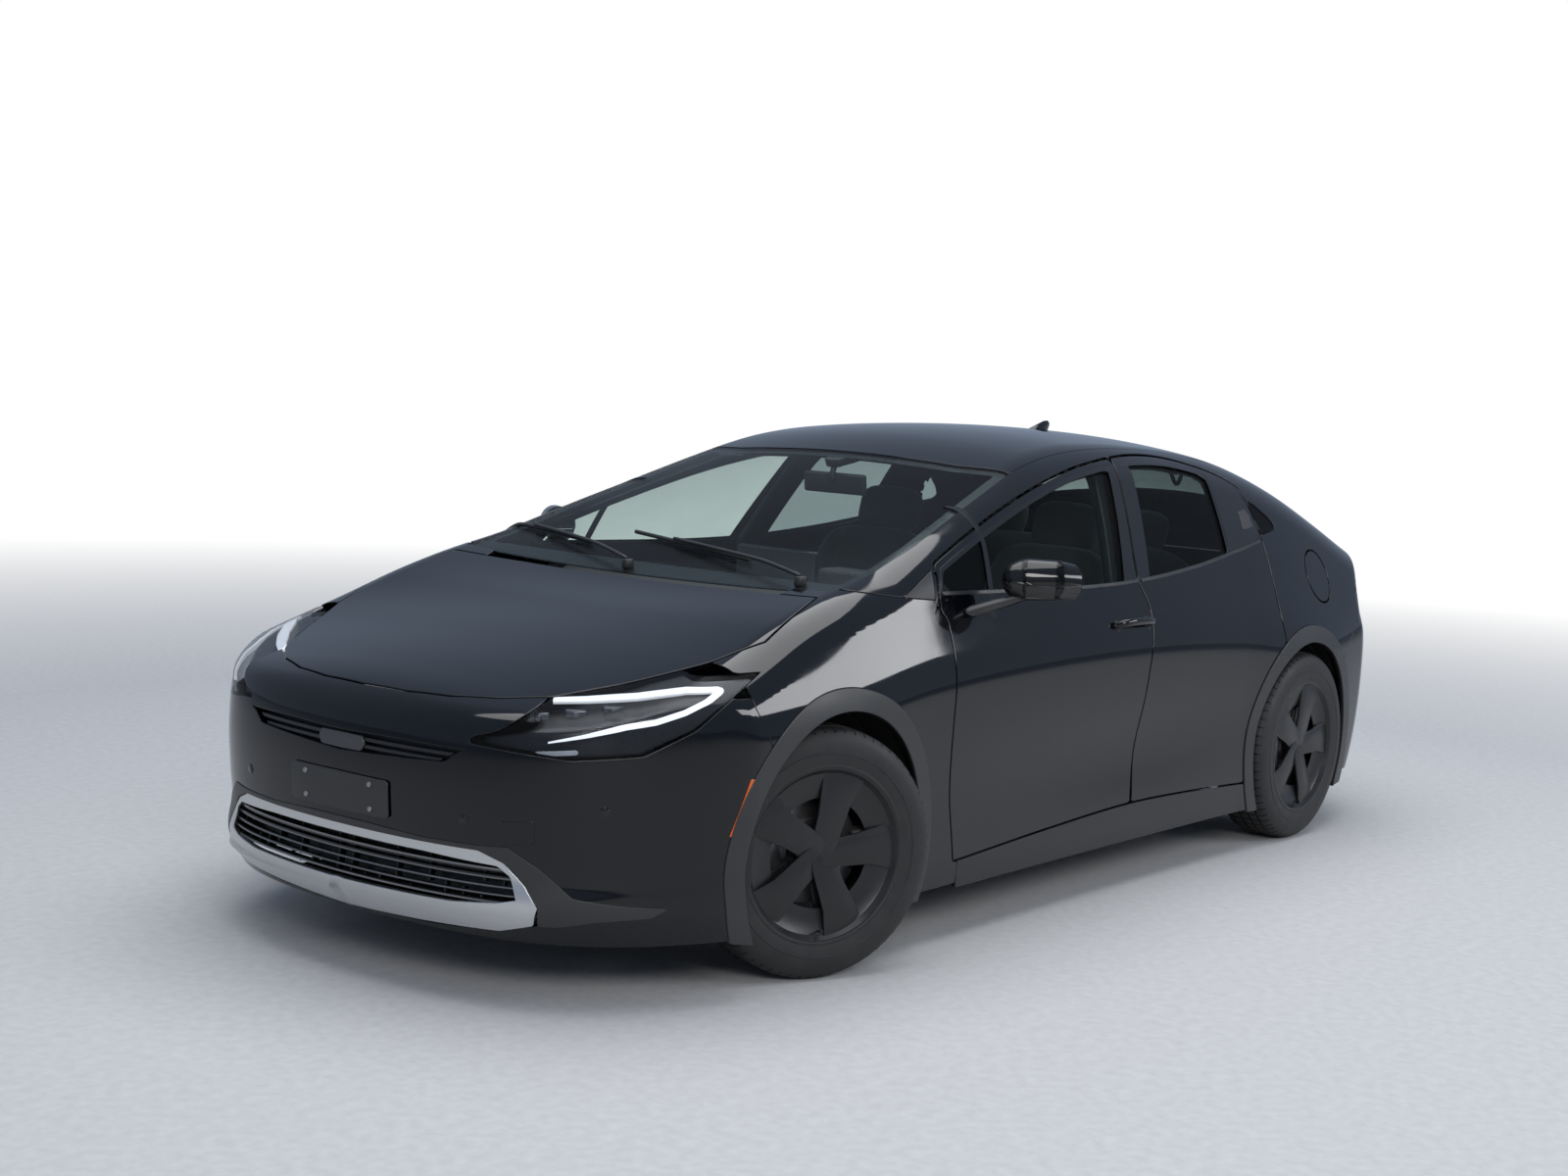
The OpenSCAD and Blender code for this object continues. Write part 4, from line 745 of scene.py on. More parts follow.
# ---- Body panels -------------------------------------------------------------------
A = degrees_side
for left, side in ((True, "left"), (False, "right")):
    front, rear = ("door_fl", "door_rl") if left else ("door_fr", "door_rr")
    panel(front + "_skin", "side", (-450, 880, A(-36), A(66)), 11,
          without(seen_side(front_door), either(seen_side(front_window), seen_side(sail, 1))), door_depth,
          front, paint, (front,), sides=side)
    panel(rear + "_skin", "side", (-1245, -195, A(-36), A(66)), 11,
          without(seen_side(rear_door), seen_side(rear_window)), door_depth,
          rear, paint, (rear,), sides=side)
    front_glass, rear_glass = ("glass_fl", "glass_rl") if left else ("glass_fr", "glass_rr")
    panel(front_glass + "_pane", "side", (-450, 880, A(15), A(66)), 16,
          seen_side(front_window, -SEAM), 5, front, side_glass, (front_glass,), 0.5, -6, side)
    panel(rear_glass + "_pane", "side", (-1245, -195, A(15), A(66)), 16,
          seen_side(rear_window, -SEAM), 5, rear, privacy_glass, (rear_glass,), 0.5, -6, side)

port_zone = round_axle(94.5, port_place[0], port_place[1])
wing = without(
    within(seen_side([(-2118, 150), (-2118, 1500), (1250, 1500), (1250, 1004), (1000, 974), (862, 962),
                      (862, 914), (770, 914), (770, 150)]), above(-1)),
    either(seen_side(front_door, GAP), seen_side(rear_door, GAP)),
    seen_side([(-400, 1290), (-262, 960), (-250, 400), (-205, 400), (-240, 960), (-360, 1290)]),
    seen_side(fender_outline, SEAM), seen_side(quarter_lower, SEAM), seen_side(quarter_window, 0.6),
    seen_side(sail), arches(ARCH_OUTER + SEAM), tail_lamp(SEAM), hood_zone(GAP),
    within(seen_top(screen_half, SEAM), above(600)), within(seen_top(roof_half, SEAM), above(600)),
    within(seen_top(hatch_half, GAP), above(880)), port_zone)
panel("side_frame_skin", "side", (-2120, 1250, A(-36), A(77)), 12, wing,
      lambda p: np.where((p[:, 2] > 1000) & (p[:, 0] > -1300), 30.0, 12.0),
      "body", paint, ("side_frames",), roll=2.0)
panel("fender_skin", "side", (740, 1760, A(-36), A(46)), 12,
      without(seen_side(fender_outline), arches(ARCH_OUTER + SEAM), seen_side(front_door, GAP),
              headlamp(SEAM), hood_zone(GAP), within(seen_top(screen_half, SEAM), above(600))),
      12, "body", paint, ("fenders",))
panel("front_bumper_skin", "nose", (-1190, 1190, 165, 765), 12,
      without(everywhere, within(arches(ARCH_OUTER + SEAM), lambda p: p[:, 0] - 1700),
              seen_side(bumper_seam, SEAM), headlamp(SEAM), hood_zone(GAP),
              within(seen_end(grille_outer_half, SEAM), ahead(1800)),
              within(seen_end(slot_half), ahead(1800))),
      12, "body", paint, ("front_bumper",), sides="centre")
panel("rear_bumper_skin", "tail", (-1217, 1217, 200, 880), 13,
      without(seen_side(quarter_lower), arches(ARCH_OUTER + SEAM), tail_lamp(SEAM),
              within(seen_end(hatch_end_half, GAP), low_at_back)),
      12, "body", paint, ("rear_bumper",), sides="centre")
panel("roof_skin", "top", (-1020, 280, -620, 620), 16, seen_top(roof_half), roof_depth,
      "body", paint, ("roof_panel",), sides="centre")
panel("windshield_pane", "top", (170, 1230, -720, 720), 16, seen_top(screen_half), 5,
      "body", screen_glass, ("windshield",), 0.5, -2, "centre")
panel("hood_skin", "top", (1240, 2230, -770, 770), 13, seen_top(hood_half), hood_depth,
      "hood", paint, ("hood",), 2.5, sides="centre")
H = lambda a: math.radians(a) * 850
panel("hatch_skin", "hatch", (H(62), H(180), -700, 700), 13,
      without(hatch_zone(), seen_top(hatch_window_half),
              within(seen_end(bar_half, SEAM), lambda p: p[:, 0] + 2000)),
      38, "hatch", paint, ("hatch",), sides="centre")
panel("hatch_pane", "hatch", (H(62), H(180), -700, 700), 16, seen_top(hatch_window_half, -SEAM), 5,
      "hatch", privacy_glass, ("hatch_glass",), 0.5, -3, "centre")
panel("light_bar_lens", "hatch", (H(140), H(180), -700, 700), 10,
      within(seen_end(bar_half), lambda p: p[:, 0] + 2000),
      5, "hatch", red_glass, ("light_bar",), 1, -1, "centre")
panel("light_bar_housing", "hatch", (H(140), H(180), -700, 700), 12,
      within(seen_end(bar_half), lambda p: p[:, 0] + 2000),
      20, "hatch", lamp_body, (), 1, -14, "centre")
panel("headlamp_cover", "nose", (-1190, 1190, 590, 830), 8,
      without(headlamp(), hood_zone(GAP)), 3, "body", lens_glass, ("lamps",), 1, -0.5, "centre")
panel("tail_lamp_cover", "tail", (-1217, 1217, 815, 950), 9,
      without(tail_lamp(), within(seen_top(hatch_half, GAP), above(800))), 5,
      "body", red_glass, ("lamps",), 1, -0.5, "centre")
panel("tail_lamp_housing", "tail", (-1217, 1217, 815, 950), 11,
      without(tail_lamp(), within(seen_top(hatch_half, GAP), above(800))), 22,
      "body", lamp_body, (), 1, -14, "centre")
panel("quarter_pane", "side", (-1365, -1195, A(30), A(58)), 10, seen_side(quarter_window), 5,
      "body", privacy_glass, ("quarter_glass",), 0.5, -3)
for x, name in ((AXLE_FRONT, "front"), (AXLE_REAR, "rear")):
    panel(name + "_arch_trim", "side", (x - 445, x + 445, A(-34.4), A(18)), 10,
          without(round_axle(ARCH_OUTER, x), round_axle(ARCH, x)), 26, "body", satin,
          ("arch_trims",), 3, 4)

# ---- Tools for the smaller pieces ------------------------------------------------------


def turned(x=0.0, y=0.0, z=0.0, about=(0, 0, 0)):
    """A turn in degrees about X, then Y, then Z, and then a move."""
    return (Matrix.Translation(about) @ Matrix.Rotation(math.radians(z), 4, "Z")
            @ Matrix.Rotation(math.radians(y), 4, "Y") @ Matrix.Rotation(math.radians(x), 4, "X"))


def block(bm, lo, hi, edge=2.0, matrix=None, steps=2):
    """A box between two corners with rounded edges."""
    made = bmesh.ops.create_cube(bm, size=1)["verts"]
    size = [b - a for a, b in zip(lo, hi)]
    middle = [(a + b) / 2 for a, b in zip(lo, hi)]
    bmesh.ops.transform(bm, verts=made, matrix=Matrix.Translation(middle) @ Matrix.Diagonal((*size, 1)))
    edges = list({e for v in made for e in v.link_edges})
    if edge:
        made = bmesh.ops.bevel(bm, geom=edges, offset=edge, segments=steps, profile=0.5, affect="EDGES",
                               material=-1)["verts"]
    if matrix:
        bmesh.ops.transform(bm, verts=list({v for v in made if v.is_valid}), matrix=matrix)


def drum(bm, radius, depth, matrix, edge=0.0, segments=32, small=None):
    """A round bar about its own Z, with rounded rims."""
    made = bmesh.ops.create_cone(bm, cap_ends=True, segments=segments, radius1=radius,
                                 radius2=radius if small is None else small, depth=depth)["verts"]
    if edge:
        rims = {e for v in made for e in v.link_edges if abs(e.verts[0].co.z - e.verts[1].co.z) < 1e-6}
        made = bmesh.ops.bevel(bm, geom=list(rims), offset=edge, segments=2, profile=0.5, affect="EDGES",
                               material=-1)["verts"] + made
    bmesh.ops.transform(bm, verts=list({v for v in made if v.is_valid}), matrix=matrix)


def ball(bm, radius, at, scale=(1, 1, 1), around=24, up_steps=14):
    """An egg with its own half sizes."""
    bmesh.ops.create_uvsphere(bm, u_segments=around, v_segments=up_steps, radius=radius,
                              matrix=Matrix.Translation(at) @ Matrix.Diagonal((*scale, 1)))


def wrapped(bm):
    """Keeps only the skin stretched over what the mesh holds."""
    made = bmesh.ops.convex_hull(bm, input=bm.verts[:], use_existing_faces=False)
    bmesh.ops.delete(bm, geom=[v for v in set(made["geom_interior"]) | set(made["geom_unused"])
                               if isinstance(v, bmesh.types.BMVert)], context="VERTS")
    bmesh.ops.recalc_face_normals(bm, faces=bm.faces)


def cut(bm, at, normal, cap=True):
    """Takes away what lies beyond a plane, and closes the opening."""
    made = bmesh.ops.bisect_plane(bm, geom=bm.verts[:] + bm.edges[:] + bm.faces[:], plane_co=at,
                                  plane_no=normal, clear_outer=True)["geom_cut"]
    if cap:
        bmesh.ops.contextual_create(bm, geom=[g for g in made if isinstance(g, bmesh.types.BMEdge)])


def spun(bm, profile, steps):
    """Turns a profile of (radius, out) points about the Y axis."""
    verts = [bm.verts.new((r, y, 0)) for r, y in profile]
    edges = [bm.edges.new(p) for p in zip(verts, verts[1:] + verts[:1])]
    bmesh.ops.spin(bm, geom=verts + edges, cent=(0, 0, 0), axis=(0, 1, 0), angle=math.tau, steps=steps,
                   use_merge=True)


def swept(points, radius, ring=3):
    """A round bar along a smooth line through points."""
    line = bpy.data.curves.new("guide", "CURVE")
    line.dimensions = "3D"
    line.bevel_depth, line.bevel_resolution, line.use_fill_caps, line.resolution_u = radius, ring, True, 6
    spline = line.splines.new("NURBS" if len(points) > 2 else "POLY")
    spline.points.add(len(points) - 1)
    for p, co in zip(spline.points, points):
        p.co = (*co, 1)
    spline.use_endpoint_u = True
    spline.order_u = 3
    guide = bpy.data.objects.new("guide", line)
    mesh = bpy.data.meshes.new_from_object(guide)
    bm = bmesh.new()
    bm.from_mesh(mesh)
    bmesh.ops.remove_doubles(bm, verts=bm.verts, dist=0.01)
    bmesh.ops.recalc_face_normals(bm, faces=bm.faces)
    bpy.data.meshes.remove(mesh)
    bpy.data.objects.remove(guide)
    bpy.data.curves.remove(line)
    return bm


def joined(*parts):
    """Puts several meshes together and frees them."""
    whole = parts[0]
    for part in parts[1:]:
        mesh = bpy.data.meshes.new("part")
        part.to_mesh(mesh)
        whole.from_mesh(mesh)
        bpy.data.meshes.remove(mesh)
        part.free()
    return whole


def both_hands(bm):
    """Adds the mirror image of what is there."""
    copy = bmesh.ops.duplicate(bm, geom=bm.verts[:] + bm.edges[:] + bm.faces[:])["geom"]
    for v in copy:
        if isinstance(v, bmesh.types.BMVert):
            v.co.y *= -1
    bmesh.ops.reverse_faces(bm, faces=[f for f in copy if isinstance(f, bmesh.types.BMFace)])


def handed(bm, left):
    """Turns a left-hand piece into a right-hand one where it is meant for the right."""
    if not left:
        for v in bm.verts:
            v.co.y *= -1
        bmesh.ops.reverse_faces(bm, faces=bm.faces)


def on_side(x, z, out=0.0):
    """The point of the left side at a station and height, and its outward direction."""
    y = 850.0
    for _ in range(30):
        y -= float(beyond_skin(np.array([[x, y, z]]))[0]) * 0.9
    p = np.array([[x, y, z]])
    n = skin_normal(p)[0]
    return Vector(p[0] + n * out), Vector(n)


def on_top(x, y, out=0.0):
    """The point of the top at a station and offset, and its outward direction."""
    p = lift("top", np.array([[x, y]], float))
    n = skin_normal(p)[0]
    return Vector(p[0] + n * out), Vector(n)


def stripe(points, azimuth, start, end):
    """A stroke along points, seen from a corner, from one half width to another."""
    a = math.radians(azimuth)
    flat = np.array([(-x * math.sin(a) + y * math.cos(a), z) for x, y, z in points])
    e = flat[1:] - flat[:-1]
    lengths = np.linalg.norm(e, axis=1)
    before = np.concatenate([[0], np.cumsum(lengths)[:-1]])

    def distance(p):
        q = np.stack([-p[:, 0] * math.sin(a) + np.abs(p[:, 1]) * math.cos(a), p[:, 2]], 1)
        w = q[:, None] - flat[None, :-1]
        t = np.clip((w * e).sum(2) / (lengths ** 2), 0, 1)
        far = np.linalg.norm(w - t[..., None] * e, axis=2)
        best = far.argmin(1)
        run = (before[best] + t[np.arange(len(q)), best] * lengths[best]) / lengths.sum()
        return far.min(1) - (start + (end - start) * np.clip(run * 2.5, 0, 1))
    return distance


# ---- Wheels -----------------------------------------------------------------------------
KNUCKLE_Y, STEERED = 750, -22


def wheel_matrix(code):
    """The place of a wheel drawn about the origin with its outer face to the left."""
    right = Matrix.Rotation(math.pi, 4, "Z") if code[1] == "r" else Matrix()
    if code[0] == "r":
        return Matrix.Translation((AXLE_REAR, -785 if code[1] == "r" else 785, AXLE_HEIGHT)) @ right
    y = -KNUCKLE_Y if code[1] == "r" else KNUCKLE_Y
    return (Matrix.Translation((AXLE_FRONT, y, AXLE_HEIGHT)) @ Matrix.Rotation(math.radians(STEERED), 4, "Z")
            @ right @ Matrix.Translation((0, 30, 0)))


def tyre_mesh():
    """Grooved tread with sipes pushed in at each pitch, and ringed side walls."""
    half = [(333, 0), (333, 13), (326, 14), (326, 19), (332.8, 20), (332.3, 47), (325.2, 48), (325.2, 53),
            (331.8, 54), (330.2, 66), (326.5, 76), (319, 85), (308, 91.5), (294, 95.8), (276, 97.2),
            (270.5, 97.2), (269.6, 98.4), (267, 98.4), (266, 97.2), (250, 96.2), (238, 93.4), (236, 94.6),
            (231, 94.4), (226, 91), (220, 86.5)]
    section = half[::-1] + [(r, -y) for r, y in half[1:]]
    bm = bmesh.new()
    verts = [bm.verts.new((r, y, 0)) for r, y in section]
    line = verts + [bm.edges.new(p) for p in zip(verts, verts[1:])]
    pitches = 66
    narrow = 0.8
    wide = 360 / pitches - narrow
    made = bmesh.ops.spin(bm, geom=line, cent=(0, 0, 0), axis=(0, 1, 0), angle=math.radians(wide), steps=1)
    last = made["geom_last"]
    first = set(bm.faces)
    bmesh.ops.spin(bm, geom=last, cent=(0, 0, 0), axis=(0, 1, 0), angle=math.radians(narrow), steps=1)
    carved = []
    for f in set(bm.faces) - first:
        c = f.calc_center_median()
        r, y = math.hypot(c.x, c.z), abs(c.y)
        if r > 316 and (y > 55 or 21 < y < 46) or (r > 332 and y < 12):
            carved.append(f)
    sunk = bmesh.ops.extrude_discrete_faces(bm, faces=carved)["faces"]
    for f in sunk:
        for v in f.verts:
            out = Vector((v.co.x, 0, v.co.z)).normalized()
            v.co -= out * (5.5 if abs(v.co.y) < 70 else 3)
    piece = bm.verts[:] + bm.edges[:] + bm.faces[:]
    bmesh.ops.spin(bm, geom=piece, cent=(0, 0, 0), axis=(0, 1, 0), use_duplicate=True,
                   angle=math.radians(360 / pitches * (pitches - 1)), steps=pitches - 1)
    bmesh.ops.remove_doubles(bm, verts=bm.verts, dist=0.05)
    bmesh.ops.recalc_face_normals(bm, faces=bm.faces)
    return bm


def rim_mesh():
    """Barrel with its two lips, and the spoked disc behind the cover."""
    bm = bmesh.new()
    spun(bm, [(221, -92), (232, -92), (233, -88), (219, -82), (219, -40), (203, -30), (203, 30), (219, 40),
              (219, 80), (231, 87), (234, 90), (234, 92), (231, 93.4), (224, 92), (219, 86), (212, 78),
              (210, 44), (195, 30), (195, -30), (210, -44), (211, -80)], 96)
    # disc of the wheel behind the cover, with five wide spokes
    spun(bm, [(28, 44), (80, 46), (86, 38), (82, 34), (28, 34)], 64)
    for k in range(5):
        block(bm, (60, 30, -24), (206, 40, 24), 5, turned(y=72 * k + 30))
        drum(bm, 9, 14, turned(x=90, about=(57 * math.cos(math.radians(72 * k)), 52,
                                            57 * math.sin(math.radians(72 * k)))), 2, 6)
    bmesh.ops.recalc_face_normals(bm, faces=bm.faces)
    return bm


def cover_mesh():
    """Five flat blades that meet at the middle, over a sloped ring between them."""
    bm = bmesh.new()
    spun(bm, [(146, 62), (149, 59.5), (152, 60), (214, 73), (216.5, 78), (214, 80), (211, 77.5), (152, 65),
              (149, 65), (146, 64)], 120)
    spun(bm, [(0.5, 56), (64, 56), (66, 58), (66, 62), (60, 66), (0.5, 68)], 60)
    outline = [(-22, 0), (-14, 26), (34, 36), (100, 41), (208, 61), (216, 62), (219, 31), (220, 0),
               (219, -31), (216, -62), (208, -61), (146, -43), (30, -38), (-14, -24)]
    for k in range(5):
        blade = bmesh.new()
        face = blade.faces.new([blade.verts.new((-u, 0, v)) for u, v in outline])
        grown = bmesh.ops.extrude_face_region(blade, geom=[face])["geom"]
        bmesh.ops.translate(
    blade, verts=[
        g for g in grown if isinstance(
            g, bmesh.types.BMVert)], vec=(
                0, -7, 0))
        bmesh.ops.recalc_face_normals(blade, faces=blade.faces)
        bmesh.ops.bevel(blade, geom=[e for e in blade.edges if all(v.co.y > -1 for v in e.verts)], offset=1.6,
                        segments=2, profile=0.5, affect="EDGES", material=-1)
        # a fold along the blade: one side falls away towards its neighbour
        bmesh.ops.bisect_plane(blade, geom=blade.verts[:] + blade.edges[:] + blade.faces[:],
                               plane_co=(0, 0, 12), plane_no=(0.10, 0, 1))
        for v in blade.verts:
            fold = v.co.z - 12 + 0.10 * v.co.x
            u = -v.co.x
            v.co.y += 79 - 0.05 * max(0, 60 - u) - (0.16 * fold if fold > 0 else 0.03 * fold)
            v.co.y += 0.02 * (u - 120)
        bmesh.ops.transform(blade, matrix=turned(y=72 * k + 3), verts=blade.verts)
        joined(bm, blade)
    return bm


def brake_mesh():
    """Vented disc with its hat."""
    bm = bmesh.new()
    spun(bm, [(78, 5), (145, 5), (145, -1), (78, -1)], 72)
    spun(bm, [(78, -7), (145, -7), (145, -13), (78, -13)], 72)
    spun(bm, [(36, 26), (72, 26), (77, 22), (80, 5), (80, -13), (74, -13), (70, 18), (36, 18)], 72)
    bmesh.ops.recalc_face_normals(bm, faces=bm.faces)
    return bm


def valve_mesh():
    """The tyre valve."""
    bm = bmesh.new()
    drum(bm, 3.2, 26, turned(x=-80, about=(0, 82, -203)), 0.8, 12)
    drum(bm, 4.2, 9, turned(x=-80, about=(0, 93, -201)), 1, 12)
    return bm


for code in ("fl", "fr", "rl", "rr"):
    spot = wheel_matrix(code)
    for name, mesh_of, slot, material, stands_for in (
            ("tyre_" + code + "_rubber", tyre_mesh, "tyre", rubber, ("tyre_" + code,)),
            ("wheel_" + code + "_rim", rim_mesh, "wheel_cover", rim_dark, ("wheel_" + code,)),
            ("wheel_" + code + "_cover", cover_mesh, "wheel_cover", cover_black, ()),
            ("wheel_" + code + "_disc", brake_mesh, "cast_block", steel, ()),
            ("wheel_" + code + "_valve", valve_mesh, "tyre", piano, ())):
        bm = mesh_of()
        bmesh.ops.transform(bm, matrix=spot, verts=bm.verts)
        piece = finished(name, bm, "wheel_" + code, material, stands_for)
        piece.data.set_sharp_from_angle(angle=math.radians(28))

# ---- Front end --------------------------------------------------------------------------
front = ahead(1500)
drl_high = [(2060, 505, 753), (2005, 576, 760), (1927, 665, 772), (1837, 743, 790), (1772, 792, 792)]
drl_low = [(2165, 600, 664), (2090, 655, 684), (2021, 722, 708), (1960, 761, 719), (1891, 793, 741),
           (1829, 807, 766), (1772, 801, 788)]
lamp_grey = [(2232, 436, 618), (2179, 556, 633), (2107, 640, 643)]


def nose_piece(name, keep, depth, raised, material, step=5, z=(590, 830), roll=0.8):
    """A piece on both sides of the nose, between two heights."""
    return panel(name, "nose", (-1190, 1190, *z), step, keep, depth, "body", material, (), roll, raised,
                 "centre")


nose_piece("headlamp_housing", without(headlamp(-3), hood_zone(GAP + 3)), 4,
           lambda p: -13 - 30 * np.clip((p[:, 0] - 1850) / 300, 0, 1), lamp_body, 9)
nose_piece("headlamp_light_upper", within(stripe(drl_high, 40, 4, 5.5), headlamp(-6)),
           8, -4, running_lamp, 4)
nose_piece("headlamp_light_lower", within(stripe(drl_low, 40, 2, 7.5),
           headlamp(-5)), 8, -4, running_lamp, 4)
nose_piece("headlamp_insert", within(stripe(lamp_grey, 40, 8, 6), headlamp(-5)), 6, -9, silver, 5)
bm = bmesh.new()
for x, y, z in ((2120, 520, 706), (2062, 590, 716), (2000, 655, 728)):
    yaw_there = math.degrees(math.atan2(y, x - 1450))
    at = Vector((x, y, z)) - Vector((26, 22, 0))
    for sign in (1, -1):
        spot = turned(z=sign * yaw_there, about=(at.x, sign * at.y, at.z))
        block(bm, (-14, -27, -14), (6, 27, 14), 5, spot)
        drum(bm, 11, 8, spot @ turned(y=90, about=(8, 0, 0)), 2, 28, 8)
finished("headlamp_projectors", bm, "body", glossy("projector", (0.10, 0.105, 0.115), 0.12, 0.6))
marker = [(1699, 566), (1722, 571), (1775, 432), (1760, 424)]
panel("side_marker", "side", (1690, 1785, A(-20), A(5)), 5, seen_side(marker),
      4, "body", marker_amber, (), 1, 1.6)
nose_piece("upper_slot_back", within(seen_end(slot_half, 9), front),
           4, -34, satin, 8, (560, 650))
for k, (z, name) in enumerate(((611, "upper"), (593, "lower"))):
    nose_piece("upper_slot_bar_" + name,
               within(seen_end([(0, z + 5), (366 - 30 * k, z + 5), (352 - 30 * k, z - 5), (0, z - 5)]), front),
               20, -9, lamp_body, 5, (560, 650), 2)
nose_piece("upper_slot_centre",
           within(seen_end([(0, 620), (76, 619), (86, 600), (74, 579), (0, 578)]), front), 14, -3,
           glossy("slot_centre", (0.045, 0.046, 0.05), 0.15), 5, (560, 650), 4)

opening = [(0, 363), (274, 361), (483, 352), (514, 330), (534, 276), (486, 264), (367, 254), (0, 251)]
rim_line = [(0, 387), (276, 386), (437, 386), (500, 362), (551, 310), (583, 262), (566, 214), (480, 190),
            (253, 182), (0, 174)]
trim_line = [(0, 407), (111, 406), (277, 398), (431, 399), (511, 403), (580, 356), (648, 289), (720, 274),
             (792, 262), (768, 240), (690, 232), (610, 214), (575, 214), (583, 262), (551, 310), (500, 362),
             (437, 386), (276, 386), (0, 387)]


def lip_out(p):
    """How far the silver lip stands out: more below the opening, with a fine crease."""
    y, z = np.abs(p[:, 1]), p[:, 2]
    inside = -polygon_distance(np.stack([y, z], 1), rim_line)
    low = np.clip((262 - z) / 30, 0, 1) * np.clip(inside / 26, 0, 1)
    crease = 5 * np.exp(-((z - 222 - y * 0.02) / 9) ** 2) * low
    return 2 + 9 * low + crease - 5 * np.clip((z - 340) / 40, 0, 1)


def down_front(outline, grow=0.0):
    """An outline seen from the front, on the nose only."""
    return within(seen_end(outline, grow), ahead(1750))


SLAT_FIRST, SLAT_PITCH, RIB_PITCH = 254, 19.4, 52


def rows_of(half):
    """Level rows at the slats' pitch, each twice this high."""
    return lambda p: np.abs((p[:, 2] - SLAT_FIRST) % SLAT_PITCH - SLAT_PITCH / 2) - half


nose_piece("silver_surround", without(down_front(rim_line), seen_end(opening)), 16, lip_out,
           silver, 6, (165, 410), 2)
frame_dark = nose_piece("grille_dark_trim", down_front(trim_line),
                        8, 3, satin, 7, (165, 420), 2)
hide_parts("lower_grille")
nose_piece("grille_back", down_front(opening, 10), 4, -60, satin, 12, (230, 380))
nose_piece("grille_slats", within(down_front(opening, 5), rows_of(3.4)), 26, -9,
           lamp_body, 5, (245, 372), 1.2)
# a thin grey strip along the front of each dark slat: a painted highlight where light catches the slats
nose_piece("grille_slat_highlights", within(down_front(opening, 3), rows_of(1.5)), 2.5, -8.2,
           glossy("painted_slat_highlight", (0.17, 0.175, 0.18), 0.25, 0.5), 4, (245, 372), 0.4)
nose_piece("grille_ribs",
           within(down_front(opening, 5), lambda p: np.abs(p[:, 1] % RIB_PITCH - RIB_PITCH / 2) - 1.8), 22, -20,
           lamp_body, 5, (245, 372), 0.6)
nose_piece("plate_board",
           within(seen_end([(0, 524), (176, 522), (180, 516), (180, 434), (176, 426), (0, 424)]), front), 10, 8,
           satin, 9, (415, 535), 3)
bm = bmesh.new()
for y, z in ((120, 505), (120, 443)):
    for sign in (1, -1):
        x = float(lift("nose", np.array([[math.atan2(y, 830) * 850, z]]))[0, 0])
        spot = turned(y=90, about=(x + 8, sign * y, z))
        drum(bm, 7, 5, spot, 1.2, 20)
        drum(bm, 3.4, 7, spot, 0.5, 6)
finished("plate_screws", bm, "body", steel)
bm = bmesh.new()
for x, y, z in ((2062, 700, 503), (2236, 401, 458)):
    p = lift("nose", np.array([[math.atan2(y, x - 1450) * 850, z]]))
    n = Vector(skin_normal(p)[0])
    spot = Matrix.Translation(Vector(p[0]) + n * 0.3) @ n.to_track_quat("Z", "Y").to_matrix().to_4x4()
    drum(bm, 13, 2.4, spot, 0.8, 32)
    drum(bm, 9, 4.2, spot, 0.9, 32)
both_hands(bm)
finished("parking_sensors", bm, "body", piano)
panel("tow_cover", "nose", (420, 900, 400, 490), 5,
      seen_corner([(2205, 500, 466), (2170, 573, 474), (2164, 571, 416), (2200, 498, 408)], 40),
      4, "body", paint, (), 2, 2.2, "left")

# ---- Sides ------------------------------------------------------------------------------


def strip_along(line, a, b, count, low, high):
    """A strip that follows a line from one station to another."""
    return seen_side(along(line, a, b, count, low) + along(line, b, a, count, high))


